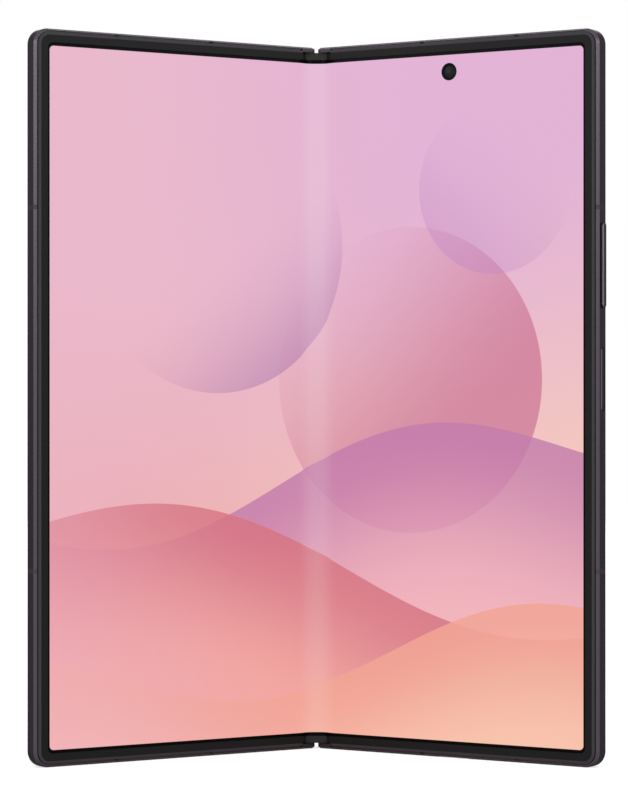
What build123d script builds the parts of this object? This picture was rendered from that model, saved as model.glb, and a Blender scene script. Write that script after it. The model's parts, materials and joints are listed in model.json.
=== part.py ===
from build123d import *
import os
from math import cos, pi, radians, sin

# A foldable phone that stands on its bottom edges, opened to a V with its large inner
# display to the front. Each half is drawn flat, as if the phone lay fully open:
# x runs outwards from the fold, y runs back from the front of the display rim, z is up.
# Then the half is tilted about its own fold axis to the angle at which the phone rests.
# Places along a half count from its bottom, its top or its outer side, whichever the
# real piece keeps its distance from.

# ---- overall sizes ---------------------------------------------------------------
HALF_WIDTH = 71.6
HEIGHT = 158.4
THICKNESS = 4.2
REST_TILT = 32.8

CORNER_RADIUS = 3.4
INNER_CORNER_RADIUS = 0.9
EDGE_ROUND = 0.6
FRONT_CHAMFER = (0.35, 0.85)
FRAME_SET_BACK = 0.15

# ---- fold axes and spine ---------------------------------------------------------
AXIS_OUT = 0.9
AXIS_DEPTH = 0.65
BACK_LIP = 0.45
SPINE_CLEARANCE = 0.1
SPINE_WALL = 0.5
HALF_GAP = 0.05
END_WALL = 1.2
END_CLEARANCE = 0.05
WALL_NOSE_RADIUS = 0.5
WALL_NOSE_BACK = 1.05
COVER_EDGE_DEPTH = 1.05

# ---- display, rim and frame layers -----------------------------------------------
DISPLAY_DEPTH = 0.4
DISPLAY_THICKNESS = 0.4
PLATE_THICKNESS = 0.15
MIDPLATE_THICKNESS = 0.4
GLASS_THICKNESS = 0.5
COVER_DISPLAY_THICKNESS = 0.4
FRAME_LIP = 0.45
GROOVE = 0.35
RIM_WIDTH = 2.2
RIM_FOOT = 0.9
RIM_SEAT_DEPTH = 0.55
RIM_BEVEL = (0.55, 0.25)
RIM_INNER_RADIUS = 1.2
RIM_HINGE_END = 3.95
FOLD_ZONE = 4.4
DISPLAY_POCKET = 1.9
FIT = 0.05
SCREW_FIT = 0.04

# ---- frame walls -----------------------------------------------------------------
SIDE_WALL = 2.0
END_RAIL = 2.2
HINGE_RAIL = 4.9
GLASS_BORDER = 1.0
GLASS_HINGE_BORDER = 4.6
CAVITY_RADIUS = 1.4
BREAK_WIDTH = 1.0
BREAK_DEPTH = 1.2
SIDE_BREAKS = (42.1, HEIGHT - 38.4)
END_BREAKS = (HALF_WIDTH - 43.9, HALF_WIDTH - 20.0)

# ---- hinge modules ---------------------------------------------------------------
MODULE_INSET = 12.0
MODULE_LENGTH = 25.0
MODULE_STARTS = (MODULE_INSET, HEIGHT - MODULE_INSET - MODULE_LENGTH)
MODULE_SCREW_MARGIN = 1.8
MIDDLE_BLOCK_LENGTH = 30.0
BLOCK_FRONT = 1.0
CENTER_PLATE_THICKNESS = 0.15
CENTER_PLATE_WIDTH = 1.8
CAP_HEIGHT = 1.6
CAP_WIDTH = 5.14
CAP_FRONT = 0.3
RAIL_RADIUS = 1.75
RAIL_THICKNESS = 0.4
RAIL_CLEARANCE = 0.05
RAIL_START_ANGLE = 40.0
RAIL_END_ANGLE = 165.0
RAIL_END_ROOM = 5.0
RAIL_WIDTH = 4.6
RIGHT_RAIL_Z = 1.2
LEFT_RAIL_Z = 6.8
RAIL_OPEN_ANGLE = 54.0
ARM_DEPTH = 1.25
ARM_THICKNESS = 0.35
ARM_REACH = 8.0
ARM_PLATE_WIDTH = 9.0
ARM_FIT = 0.1
NECK_ANGLE = 6.0
NECK_FRONT = (2.75, 1.66)
NECK_BACK = (2.95, 1.83)
NECK_FLAT_FRONT = 3.65
NECK_FLAT_BACK = 3.22
SCREW_RADIUS = 0.35
SCREW_HEAD_RADIUS = 0.7
SCREW_HEAD = 0.25

SHAFT_OUT = 0.75
SHAFT_DEPTH = 1.95
SHAFT_RADIUS = 0.3
SHAFT_CLEARANCE = 0.04
SYNC_POCKET_Z = 13.0
SYNC_POCKET_LENGTH = 7.6
SYNC_POCKET_WIDTH = 3.5
SYNC_POCKET_BACK = 2.95
SHAFT_OVERHANG = 0.7
GEAR_TEETH = 10
GEAR_LENGTH = 3.0
GEAR_TIP = 0.13
GEAR_ROOT = 0.17
GEAR_ROOT_SHARE = 0.288
GEAR_TIP_SHARE = 0.112
CAM_LENGTH = 1.0
CAM_RADIUS = 0.6
WASHER_RADIUS = 0.68
WASHER_THICKNESS = 0.2
WASHER_PITCH = 0.25
WASHER_COUNT = 9

# ---- keys and card tray ----------------------------------------------------------
KEY_DEPTH = 2.5
KEY_THICKNESS = 1.5
KEY_FIT = 0.08
KEY_CAP = 1.0
KEY_END_SHARE = 0.95
KEY_EDGE_ROUND = 0.15
KEY_TRAVEL = 0.25
KEY_STEM_RADIUS = 0.45
KEY_STEM_FIT = 0.06
VOLUME_KEY = (HEIGHT - 59.9, HEIGHT - 41.7)
VOLUME_KEY_STAND = 0.5
POWER_KEY = (HEIGHT - 81.9, HEIGHT - 68.6)
POWER_KEY_STAND = -0.03
SWITCH_THICKNESS = 0.6
SWITCH_SIZE = (1.4, 2.4)
SWITCH_STRIP = 0.3

TRAY_MIDDLE = END_BREAKS[1] - 11.6
TRAY_WIDTH = 13.6
TRAY_THICKNESS = 0.8
TRAY_DEPTH = 2.4
TRAY_LENGTH = 18.0
TRAY_FACE_WIDTH = 15.0
TRAY_FACE_HEIGHT = 1.7
TRAY_FACE = 0.9
TRAY_RECESS = 0.06
TRAY_FIT = 0.1
SOCKET_ROOM = 1.0
EJECT_HOLE_RADIUS = 0.45
CARD_WINDOW = (11.0, 8.0)

# ---- connector, speakers and cameras ---------------------------------------------
PORT_MIDDLE = HALF_WIDTH / 2
PORT_WIDTH = 8.9
PORT_HEIGHT = 2.7
PORT_WALL = 0.12
PORT_DEPTH = 7.6
PORT_RECESS = 0.3
PORT_MOUTH = (9.2, 3.1)
PORT_TONGUE = (6.7, 0.7)
PORT_BASE = 1.5
SOUND_SLOT = (1.5, 0.8)
SOUND_PITCH = 2.2
SOUND_COUNT = 5
BOTTOM_SOUND = HALF_WIDTH - 13.0
TOP_SOUND = END_BREAKS[0] - 7.7
SOUND_DEPTH = 2.5
MIC_RADIUS = 0.4
BOTTOM_MIC = END_BREAKS[0] - 3.2
TOP_MIC = END_BREAKS[1] - 9.6

INNER_CAMERA = (HALF_WIDTH / 2 - 1.1, HEIGHT - 7.4)
INNER_CAMERA_RADIUS = 1.85
COVER_CAMERA = (HALF_WIDTH / 2 + 0.7, HEIGHT - 7.8)
COVER_CAMERA_RADIUS = 1.9
CAMERA_BODY = 5.6
LENS_CENTER_X = HALF_WIDTH - 12.1
LENS_TOP = HEIGHT - 14.9
LENS_PITCH = 17.0
LENS_Z = (LENS_TOP - 2 * LENS_PITCH, LENS_TOP - LENS_PITCH, LENS_TOP)
ISLAND_MARGIN = 1.4
ISLAND_HEIGHT = 1.4
ISLAND_ROUND = 0.4
RING_RADIUS = 6.6
RING_WIDTH = 1.0
RING_HEIGHT = 0.8
LENS_THICKNESS = 0.4
LENS_SET_IN = 0.2
MODULE_RADIUS = 4.8
FLASH = (LENS_CENTER_X - 11.9, LENS_TOP)
FLASH_RADIUS = 1.6

# ---- inside pieces ---------------------------------------------------------------
SHELF = 0.03
BATTERY_THICKNESS = 2.0
LEFT_BATTERY_THICKNESS = 1.75
BOARD_THICKNESS = 0.5
BOARD_CORNER = 1.0
BATTERY_RADIUS = 1.5
BATTERY_GAP = 3.0
INSIDE_START = 9.0
BATTERY_SIDE = HALF_WIDTH - 5.1
MAIN_BOARD_LENGTH = 50.0
MAIN_BOARD_TOP_GAP = 12.4
MAIN_BOARD_LENS_GAP = 10.0
MAIN_BOARD_TOP = HEIGHT - MAIN_BOARD_TOP_GAP
MAIN_BOARD_SIDE = LENS_CENTER_X - MAIN_BOARD_LENS_GAP
MAIN_BOARD = (INSIDE_START, MAIN_BOARD_SIDE, MAIN_BOARD_TOP - MAIN_BOARD_LENGTH, MAIN_BOARD_TOP)
SUB_BOARD_LENGTH = 30.0
SUB_BOARD_TOP_GAP = 15.4
SUB_BOARD_SIDE_GAP = 21.6
SUB_BOARD_TOP = HEIGHT - SUB_BOARD_TOP_GAP
SUB_BOARD_SIDE = HALF_WIDTH - SUB_BOARD_SIDE_GAP
SUB_BOARD = (INSIDE_START, SUB_BOARD_SIDE, SUB_BOARD_TOP - SUB_BOARD_LENGTH, SUB_BOARD_TOP)
PORT_BOARD = (INSIDE_START, PORT_MIDDLE - 5.8, 4.0, 13.0)
RIGHT_BATTERY = (INSIDE_START, BATTERY_SIDE, 16.0, MAIN_BOARD[2] - BATTERY_GAP)
LEFT_BATTERY = (INSIDE_START, BATTERY_SIDE, 27.0, SUB_BOARD[2] - BATTERY_GAP)
SHIELD_HEIGHT = 1.3
SHIELD_WALL = 0.15
SHIELD_START = INSIDE_START + 2.0
SHIELD_SPLIT = (28.0, 30.0)
SHIELD_SIDE = MAIN_BOARD[1] - 1.5
SHIELD_FOOT = MAIN_BOARD[2] + 2.0
SHIELD_TOP = MAIN_BOARD[3] - 2.0
SHIELD_LENGTHS = (20.0, 26.0, 22.0)
SHIELDS = (
    (SHIELD_START, SHIELD_SPLIT[0], SHIELD_FOOT, SHIELD_FOOT + SHIELD_LENGTHS[0]),
    (SHIELD_SPLIT[1], SHIELD_SIDE, SHIELD_FOOT, SHIELD_FOOT + SHIELD_LENGTHS[1]),
    (SHIELD_START, SHIELD_SPLIT[0], SHIELD_TOP - SHIELD_LENGTHS[2], SHIELD_TOP),
)
COIL_RADII = (11.0, 20.0)
COIL_THICKNESS = 0.2
COIL_CENTER = ((INSIDE_START + BATTERY_SIDE) / 2, (RIGHT_BATTERY[2] + RIGHT_BATTERY[3]) / 2)
BOTTOM_SPEAKER = (HALF_WIDTH - 24.6, HALF_WIDTH - 4.6, 2.6, 13.0)
TOP_SPEAKER = (10.0, INNER_CAMERA[0] - 5.7, HEIGHT - 9.8, HEIGHT - 2.4)
SPEAKER_THICKNESS = 1.8
SPEAKER_CONE = 0.2
SPEAKER_CORNER = 1.0
SPEAKER_BORDER = 1.0
EARPIECE = (COVER_CAMERA[0] - 16.5, COVER_CAMERA[0] - 6.0, HEIGHT - 9.4, HEIGHT - 2.8)
MOTOR = (12.0, TRAY_MIDDLE - 8.0, 8.0, 24.0)
MOTOR_CORNER = 2.0
MOTOR_ROUND = 0.3
MAGNET_SIZE = (1.6, 8.0)
MAGNET_THICKNESS = 1.8
LEFT_MAGNETS = (16.0, HEIGHT - 82.4, HEIGHT - 28.4)
RIGHT_MAGNETS = (24.0, POWER_KEY[0] - 16.5, HEIGHT - 26.4)

# ---- sizes that follow -----------------------------------------------------------
BORE_RADIUS = THICKNESS - BACK_LIP - AXIS_DEPTH
SPINE_RADIUS = BORE_RADIUS - SPINE_CLEARANCE
SPINE_INSIDE = SPINE_RADIUS - SPINE_WALL
SPINE_BOTTOM = END_WALL + END_CLEARANCE
SPINE_TOP = HEIGHT - SPINE_BOTTOM
CAP_INSIDE = SPINE_BOTTOM + CAP_HEIGHT
RIM_OUT = FRAME_LIP + GROOVE
RIM_IN = RIM_OUT + RIM_WIDTH
DISPLAY_BACK = DISPLAY_DEPTH + DISPLAY_THICKNESS
MIDPLATE_FRONT = DISPLAY_BACK + PLATE_THICKNESS
MIDPLATE_BACK = MIDPLATE_FRONT + MIDPLATE_THICKNESS
GLASS_FRONT = THICKNESS - GLASS_THICKNESS
SHELF_DEPTH = MIDPLATE_BACK + SHELF
WALL_INSIDE = HALF_WIDTH - SIDE_WALL
OUTSIDE = 20.0
BEYOND = 1.0
OVERCUT = 0.1
TILT = radians(REST_TILT)


def tilted(x, y):
    """Where a point of the flat right half lies once that half is tilted to rest."""
    out = x - AXIS_OUT
    back = y - AXIS_DEPTH
    return (
        AXIS_OUT + out * cos(TILT) + back * sin(TILT),
        AXIS_DEPTH - out * sin(TILT) + back * cos(TILT),
    )


FRONT_REACH = tilted(HALF_WIDTH - FRONT_CHAMFER[0], FRAME_SET_BACK)[1]
BACK_REACH = tilted(HALF_GAP + EDGE_ROUND, THICKNESS)[1]
STAND_SHIFT = -(FRONT_REACH + BACK_REACH) / 2


# ---- ways to place things --------------------------------------------------------
def on_spine(shape):
    return Pos(0, STAND_SHIFT, 0) * shape


def on_right(shape):
    axis = Pos(AXIS_OUT, AXIS_DEPTH, 0)
    turned = axis * Rot(0, 0, -REST_TILT) * Pos(-AXIS_OUT, -AXIS_DEPTH, 0) * shape
    return on_spine(turned)


def on_left(shape):
    return mirror(on_right(shape), Plane.YZ)


# ---- basic shapes ----------------------------------------------------------------
def slab(x0, x1, y0, y1, z0, z1):
    middle = Pos((x0 + x1) / 2, (y0 + y1) / 2, (z0 + z1) / 2)
    return middle * Box(x1 - x0, y1 - y0, z1 - z0)


def panel(x0, x1, z0, z1, y0, y1, outer_radius, inner_radius=0.0):
    """A plate facing front, with its own corner radius at the outer and inner side."""
    outline = Pos((x0 + x1) / 2, (z0 + z1) / 2) * Rectangle(x1 - x0, z1 - z0)
    if outer_radius > 0:
        outline = fillet(outline.vertices().group_by(Axis.X)[-1], outer_radius)
    if inner_radius > 0:
        outline = fillet(outline.vertices().group_by(Axis.X)[0], inner_radius)
    return extrude(Plane.XZ.offset(-y0) * outline, amount=-(y1 - y0))


def disc(x, z, radius, y0, y1):
    return extrude(Plane.XZ.offset(-y0) * Pos(x, z) * Circle(radius), amount=-(y1 - y0))


def ring(x, z, outer, inner, y0, y1):
    return disc(x, z, outer, y0, y1) - disc(x, z, inner, y0 - BEYOND, y1 + BEYOND)


def post(x, y, radius, z0, z1):
    return Pos(x, y, (z0 + z1) / 2) * Cylinder(radius, z1 - z0)


def upright(outline, z0, z1):
    """An outline seen from above, drawn up from z0 to z1."""
    return extrude(Pos(0, 0, z0) * outline, amount=z1 - z0)


def area(x0, x1, y0, y1):
    return Pos((x0 + x1) / 2, (y0 + y1) / 2) * Rectangle(x1 - x0, y1 - y0)


def wall_slot(x, y, width, height, z0, z1):
    """A rounded slot through a bottom or top wall."""
    return upright(Pos(x, y) * SlotOverall(width, height), z0, z1)


def polar(radius, angle):
    turn = radians(angle)
    return (AXIS_OUT + radius * cos(turn), AXIS_DEPTH + radius * sin(turn))


def sector(start, end, reach):
    """A wedge about the right fold axis, from one angle to another."""
    count = 4
    points = [(AXIS_OUT, AXIS_DEPTH)]
    for step in range(count + 1):
        points.append(polar(reach, start + (end - start) * step / count))
    return Polygon(*points, align=None)


def axis_circle(radius):
    return Pos(AXIS_OUT, AXIS_DEPTH) * Circle(radius)


# ---- frames ----------------------------------------------------------------------
def bore_outline():
    """The room that the spine needs inside a half, at every fold angle."""
    back = AXIS_DEPTH + BORE_RADIUS
    beside = area(-OUTSIDE, AXIS_OUT, -OUTSIDE, back)
    before = area(-OUTSIDE, AXIS_OUT + BORE_RADIUS, -OUTSIDE, AXIS_DEPTH)
    return axis_circle(BORE_RADIUS) + beside + before


def wall_nose_outline():
    """What comes off the inner ends of the end walls, so that the halves pass."""
    front = area(-OUTSIDE, AXIS_OUT, -OUTSIDE, AXIS_DEPTH) - axis_circle(WALL_NOSE_RADIUS)
    slope = Polygon(
        (-OUTSIDE, AXIS_DEPTH),
        (AXIS_OUT - WALL_NOSE_RADIUS, AXIS_DEPTH),
        (HALF_GAP, WALL_NOSE_BACK),
        (-OUTSIDE, WALL_NOSE_BACK),
        align=None,
    )
    return front + slope


def frame_blank():
    blank = panel(
        HALF_GAP,
        HALF_WIDTH,
        0,
        HEIGHT,
        FRAME_SET_BACK,
        THICKNESS,
        CORNER_RADIUS,
        INNER_CORNER_RADIUS,
    )
    blank = fillet(blank.faces().sort_by(Axis.Y)[-1].edges(), EDGE_ROUND)
    front = blank.faces().sort_by(Axis.Y)[0]
    blank = chamfer(front.edges(), *FRONT_CHAMFER, reference=front)
    blank -= upright(bore_outline(), END_WALL, HEIGHT - END_WALL)
    blank -= upright(wall_nose_outline(), -BEYOND, HEIGHT + BEYOND)
    return blank


def frame_pockets():
    """The seats of the rim, the display, the inside pieces and the back panel."""
    start = AXIS_OUT + BORE_RADIUS - 2 * FIT
    rim = panel(
        start,
        HALF_WIDTH - FRAME_LIP,
        FRAME_LIP,
        HEIGHT - FRAME_LIP,
        -BEYOND,
        RIM_SEAT_DEPTH,
        CORNER_RADIUS - FRAME_LIP,
    )
    display = panel(
        start,
        HALF_WIDTH - DISPLAY_POCKET,
        DISPLAY_POCKET,
        HEIGHT - DISPLAY_POCKET,
        -BEYOND,
        MIDPLATE_FRONT,
        CORNER_RADIUS - DISPLAY_POCKET,
    )
    inside = panel(
        HINGE_RAIL, WALL_INSIDE, END_RAIL, HEIGHT - END_RAIL, MIDPLATE_BACK, OUTSIDE, CAVITY_RADIUS
    )
    back = panel(
        GLASS_HINGE_BORDER,
        HALF_WIDTH - GLASS_BORDER,
        GLASS_BORDER,
        HEIGHT - GLASS_BORDER,
        GLASS_FRONT,
        OUTSIDE,
        CORNER_RADIUS - GLASS_BORDER,
        EDGE_ROUND,
    )
    return [rim, display, inside, back]


def arm_seats(rail_z):
    """Where the hinge arms pass the hinge rail and sink into the middle plate."""
    cuts = []
    for start in MODULE_STARTS:
        z0 = start + rail_z
        pass_z = (z0 - ARM_FIT, z0 + RAIL_WIDTH + ARM_FIT)
        pass_y = (ARM_DEPTH, ARM_DEPTH + ARM_THICKNESS + ARM_FIT)
        through = slab(AXIS_OUT + RAIL_RADIUS, HINGE_RAIL + OVERCUT, *pass_y, *pass_z)
        plate_z0 = z0 + (RAIL_WIDTH - ARM_PLATE_WIDTH) / 2 - FIT
        plate_z1 = plate_z0 + ARM_PLATE_WIDTH + 2 * FIT
        seat = slab(HINGE_RAIL, ARM_REACH + FIT, ARM_DEPTH, MIDPLATE_BACK + OVERCUT, plate_z0, plate_z1)
        cuts += [through, seat]
        for x, z in arm_screw_places(start, rail_z):
            hole = disc(x, z, SCREW_RADIUS + SCREW_FIT, MIDPLATE_FRONT - BEYOND, ARM_DEPTH + BEYOND)
            cuts.append(hole)
    return cuts


def break_boxes():
    boxes = []
    y_span = (-BEYOND, THICKNESS + BEYOND)
    for z in SIDE_BREAKS:
        z0 = z - BREAK_WIDTH / 2
        boxes.append(slab(HALF_WIDTH - BREAK_DEPTH, HALF_WIDTH + BEYOND, *y_span, z0, z0 + BREAK_WIDTH))
    for x in END_BREAKS:
        x_span = (x - BREAK_WIDTH / 2, x + BREAK_WIDTH / 2)
        boxes.append(slab(*x_span, *y_span, HEIGHT - BREAK_DEPTH, HEIGHT + BEYOND))
        boxes.append(slab(*x_span, *y_span, -BEYOND, BREAK_DEPTH))
    return boxes


def end_wall_spans():
    """The heights between which a hole goes right through the bottom and the top wall."""
    bottom = (-BEYOND, END_RAIL + OVERCUT)
    top = (HEIGHT - END_RAIL - OVERCUT, HEIGHT + BEYOND)
    return bottom, top


def sound_slots(middle, z0, z1):
    slots = []
    for place in range(SOUND_COUNT):
        x = middle + (place - (SOUND_COUNT - 1) / 2) * SOUND_PITCH
        slots.append(wall_slot(x, SOUND_DEPTH, *SOUND_SLOT, z0, z1))
    return slots


def key_cuts(span, stand):
    z0, z1 = span
    half = KEY_THICKNESS / 2 + KEY_FIT
    face = HALF_WIDTH + stand
    floor = face - KEY_CAP - KEY_TRAVEL - FIT
    y_span = (KEY_DEPTH - half, KEY_DEPTH + half)
    seat = slab(floor, HALF_WIDTH + BEYOND, *y_span, z0 - KEY_FIT, z1 + KEY_FIT)
    cuts = [fillet(seat.edges().filter_by(Axis.X), half * KEY_END_SHARE)]
    for z in key_stem_places(span):
        hole = Cylinder(KEY_STEM_RADIUS + KEY_STEM_FIT, 2 * SIDE_WALL)
        cuts.append(Pos(floor, KEY_DEPTH, z) * Rot(0, 90, 0) * hole)
    return cuts


def key_stem_places(span):
    z0, z1 = span
    quarter = (z1 - z0) / 4
    return (z0 + quarter, z1 - quarter)


def camera_hole(place, radius):
    return disc(*place, radius + FIT, DISPLAY_DEPTH - BEYOND, MIDPLATE_BACK + BEYOND)


def port_cuts():
    z_end = PORT_RECESS + PORT_DEPTH + FIT
    size = (PORT_WIDTH + 2 * FIT, PORT_HEIGHT + 2 * FIT)
    body = wall_slot(PORT_MIDDLE, port_depth(), *size, -BEYOND, END_RAIL + OVERCUT)
    mouth = wall_slot(PORT_MIDDLE, port_depth(), *PORT_MOUTH, -BEYOND, PORT_RECESS)
    half = PORT_WIDTH / 2 + FIT
    room = slab(PORT_MIDDLE - half, PORT_MIDDLE + half, MIDPLATE_FRONT, GLASS_FRONT, END_RAIL, z_end)
    return [body, mouth, room]


def port_depth():
    return (MIDPLATE_FRONT + GLASS_FRONT) / 2


def tray_cuts():
    half = TRAY_FACE_WIDTH / 2 + TRAY_FIT / 2
    face_z = TRAY_RECESS + TRAY_FACE + FIT
    tall = TRAY_FACE_HEIGHT + TRAY_FIT
    face = wall_slot(TRAY_MIDDLE, TRAY_DEPTH, 2 * half, tall, -BEYOND, face_z)
    return [face, slab(*tray_way(), 0, END_RAIL + BEYOND)]


def tray_way():
    """The width and depth that the tray's plate slides in."""
    wide = TRAY_WIDTH / 2 + TRAY_FIT
    deep = TRAY_THICKNESS / 2 + TRAY_FIT
    return (TRAY_MIDDLE - wide, TRAY_MIDDLE + wide, TRAY_DEPTH - deep, TRAY_DEPTH + deep)


def right_frame():
    frame = frame_blank()
    for cut in frame_pockets() + arm_seats(RIGHT_RAIL_Z) + port_cuts():
        frame -= cut
    frame -= camera_hole(INNER_CAMERA, INNER_CAMERA_RADIUS)
    for cut in key_cuts(VOLUME_KEY, VOLUME_KEY_STAND) + key_cuts(POWER_KEY, POWER_KEY_STAND):
        frame -= cut
    bottom, top = end_wall_spans()
    for cut in sound_slots(BOTTOM_SOUND, *bottom) + sound_slots(TOP_SOUND, *top):
        frame -= cut
    frame -= post(BOTTOM_MIC, SOUND_DEPTH, MIC_RADIUS, *bottom)
    frame -= post(TOP_MIC, SOUND_DEPTH, MIC_RADIUS, *top)
    return frame


def left_frame():
    frame = frame_blank()
    for cut in frame_pockets() + arm_seats(LEFT_RAIL_Z) + tray_cuts():
        frame -= cut
    bottom, top = end_wall_spans()
    eject_x = TRAY_MIDDLE + TRAY_FACE_WIDTH / 2 + 3 * EJECT_HOLE_RADIUS
    frame -= post(eject_x, TRAY_DEPTH, EJECT_HOLE_RADIUS, *bottom)
    for cut in sound_slots(TOP_SOUND, *top):
        frame -= cut
    return frame


def split_breaks(frame):
    """The frame without its antenna breaks, and the breaks as pieces of their own."""
    breaks = []
    for box in break_boxes():
        breaks += (frame & box).solids()
        frame -= box
    return frame, breaks


# ---- display side ----------------------------------------------------------------
def bezel_rim():
    def band(out, inset, y0, y1, radius):
        outer = panel(
            RIM_HINGE_END, HALF_WIDTH - out, out, HEIGHT - out, y0, y1, CORNER_RADIUS - out
        )
        hole_depth = (y0 - BEYOND, y1 + BEYOND)
        hole = panel(
            RIM_HINGE_END - BEYOND, HALF_WIDTH - inset, inset, HEIGHT - inset, *hole_depth, radius
        )
        return outer - hole

    top = band(RIM_OUT, RIM_IN, 0, DISPLAY_DEPTH, RIM_INNER_RADIUS)
    front = top.faces().sort_by(Axis.Y)[0]
    outer_edges = [edge for edge in front.edges() if is_rim_outer(edge)]
    top = chamfer(outer_edges, *RIM_BEVEL, reference=front)
    foot_radius = CORNER_RADIUS - RIM_OUT - RIM_FOOT
    return top + band(RIM_OUT, RIM_OUT + RIM_FOOT, DISPLAY_DEPTH, RIM_SEAT_DEPTH, foot_radius)


def is_rim_outer(edge):
    middle = edge.center()
    out = HALF_WIDTH - middle.X
    reach = RIM_OUT + RIM_WIDTH / 2
    at_end = middle.X < RIM_HINGE_END + FIT
    near_side = out < reach
    near_top = min(middle.Z, HEIGHT - middle.Z) < reach
    return (near_side or near_top) and not at_end


def display_edges():
    inset = DISPLAY_POCKET + FIT
    return (HALF_WIDTH - inset, inset, HEIGHT - inset)


def display_panel():
    x1, z0, z1 = display_edges()
    radius = CORNER_RADIUS - DISPLAY_POCKET - FIT
    return panel(FOLD_ZONE, x1, z0, z1, DISPLAY_DEPTH, DISPLAY_BACK, radius)


def support_plate():
    x1, z0, z1 = display_edges()
    radius = CORNER_RADIUS - DISPLAY_POCKET - FIT
    return panel(FOLD_ZONE, x1, z0, z1, DISPLAY_BACK, MIDPLATE_FRONT, radius)


def fold_zone():
    """The bending strip of the display, with the curve it has at rest."""
    front = fold_curve(DISPLAY_DEPTH)
    back = fold_curve(DISPLAY_BACK)
    right = Line(front @ 1, back @ 1)
    left = Line(front @ 0, back @ 0)
    outline = make_face(Wire([front, right, back, left]))
    return upright(outline, CAP_INSIDE + FIT, HEIGHT - CAP_INSIDE - FIT)


def fold_curve(depth):
    x, y = tilted(FOLD_ZONE, depth)
    slope = (cos(TILT), sin(TILT))
    ends = [(slope[0], slope[1]), (slope[0], -slope[1])]
    return Spline((-x, y), (0, depth), (x, y), tangents=ends)


# ---- spine -----------------------------------------------------------------------
def spine_outline(radius):
    """Two quarter rounds about the fold axes, joined by a flat back."""
    whole = axis_circle(radius) + mirror(axis_circle(radius), Plane.YZ)
    whole += area(-AXIS_OUT, AXIS_OUT, AXIS_DEPTH - radius, AXIS_DEPTH + radius)
    return whole


def spine_cover():
    shell = spine_outline(SPINE_RADIUS) - spine_outline(SPINE_INSIDE)
    shell -= area(-OUTSIDE, OUTSIDE, -OUTSIDE, COVER_EDGE_DEPTH)
    cover = upright(shell, SPINE_BOTTOM, SPINE_TOP)
    notch_top = ARM_DEPTH + ARM_THICKNESS + 2 * FIT
    for start in MODULE_STARTS:
        for side, rail_z in ((1, RIGHT_RAIL_Z), (-1, LEFT_RAIL_Z)):
            z0 = start + rail_z - ARM_FIT
            z1 = start + rail_z + RAIL_WIDTH + ARM_FIT
            x = side * (AXIS_OUT + SPINE_RADIUS)
            cover -= slab(x - BEYOND, x + BEYOND, -BEYOND, notch_top, z0, z1)
    thread_end = AXIS_DEPTH + SPINE_RADIUS - SPINE_WALL / 2
    for z in block_screw_places():
        cover -= disc(0, z, SCREW_RADIUS + SCREW_FIT, AXIS_DEPTH, thread_end)
    return cover


def block_outline():
    outline = spine_outline(SPINE_INSIDE - FIT)
    return outline - area(-OUTSIDE, OUTSIDE, -OUTSIDE, BLOCK_FRONT)


def rail_groove():
    """The arc groove of the right arm, open towards that half."""
    inner = RAIL_RADIUS - RAIL_CLEARANCE
    outer = RAIL_RADIUS + RAIL_THICKNESS + RAIL_CLEARANCE
    band = axis_circle(outer) - axis_circle(inner)
    band &= sector(-90, RAIL_END_ANGLE + RAIL_END_ROOM, 2 * outer)
    mouth = sector(-90, RAIL_OPEN_ANGLE, OUTSIDE) - axis_circle(inner)
    return band + mouth


def hinge_block(start):
    block = upright(block_outline(), start, start + MODULE_LENGTH)
    width = RAIL_WIDTH + 2 * FIT
    right_z = start + RIGHT_RAIL_Z - FIT
    left_z = start + LEFT_RAIL_Z - FIT
    block -= upright(rail_groove(), right_z, right_z + width)
    block -= mirror(upright(rail_groove(), left_z, left_z + width), Plane.YZ)
    z0 = start + SYNC_POCKET_Z
    z1 = z0 + SYNC_POCKET_LENGTH
    half = SYNC_POCKET_WIDTH / 2
    block -= slab(-half, half, -BEYOND, SYNC_POCKET_BACK, z0, z1)
    for x in (-SHAFT_OUT, SHAFT_OUT):
        reach = SHAFT_OVERHANG + SHAFT_CLEARANCE
        block -= post(x, SHAFT_DEPTH, SHAFT_RADIUS + SHAFT_CLEARANCE, z0 - reach, z1 + reach)
    return block


def middle_block():
    z0 = (HEIGHT - MIDDLE_BLOCK_LENGTH) / 2
    return upright(block_outline(), z0, z0 + MIDDLE_BLOCK_LENGTH)


def middle_screw_places():
    reach = MIDDLE_BLOCK_LENGTH / 2 - 3 * SCREW_HEAD_RADIUS
    return [HEIGHT / 2 - reach, HEIGHT / 2 + reach]


def block_screw_places():
    ends = [start + MODULE_LENGTH - MODULE_SCREW_MARGIN for start in MODULE_STARTS]
    return middle_screw_places() + ends


def hinge_blocks():
    blocks = []
    for block in [hinge_block(start) for start in MODULE_STARTS] + [middle_block()]:
        for z in block_screw_places():
            block -= disc(0, z, SCREW_RADIUS + SCREW_FIT, 0, THICKNESS)
            block -= disc(0, z, SCREW_HEAD_RADIUS + SCREW_FIT, 0, BLOCK_FRONT + SCREW_HEAD)
        blocks.append(block)
    return blocks


def block_screws():
    screws = []
    for z in block_screw_places():
        head = disc(0, z, SCREW_HEAD_RADIUS, BLOCK_FRONT + FIT, BLOCK_FRONT + SCREW_HEAD)
        shank = disc(0, z, SCREW_RADIUS, BLOCK_FRONT + SCREW_HEAD, AXIS_DEPTH + SPINE_INSIDE + FIT)
        screws.append(head + shank)
    return screws


def center_plate():
    half = CENTER_PLATE_WIDTH / 2
    z0 = MODULE_STARTS[0]
    z1 = MODULE_STARTS[-1] + MODULE_LENGTH
    return slab(-half, half, BLOCK_FRONT - CENTER_PLATE_THICKNESS, BLOCK_FRONT, z0, z1)


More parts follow.
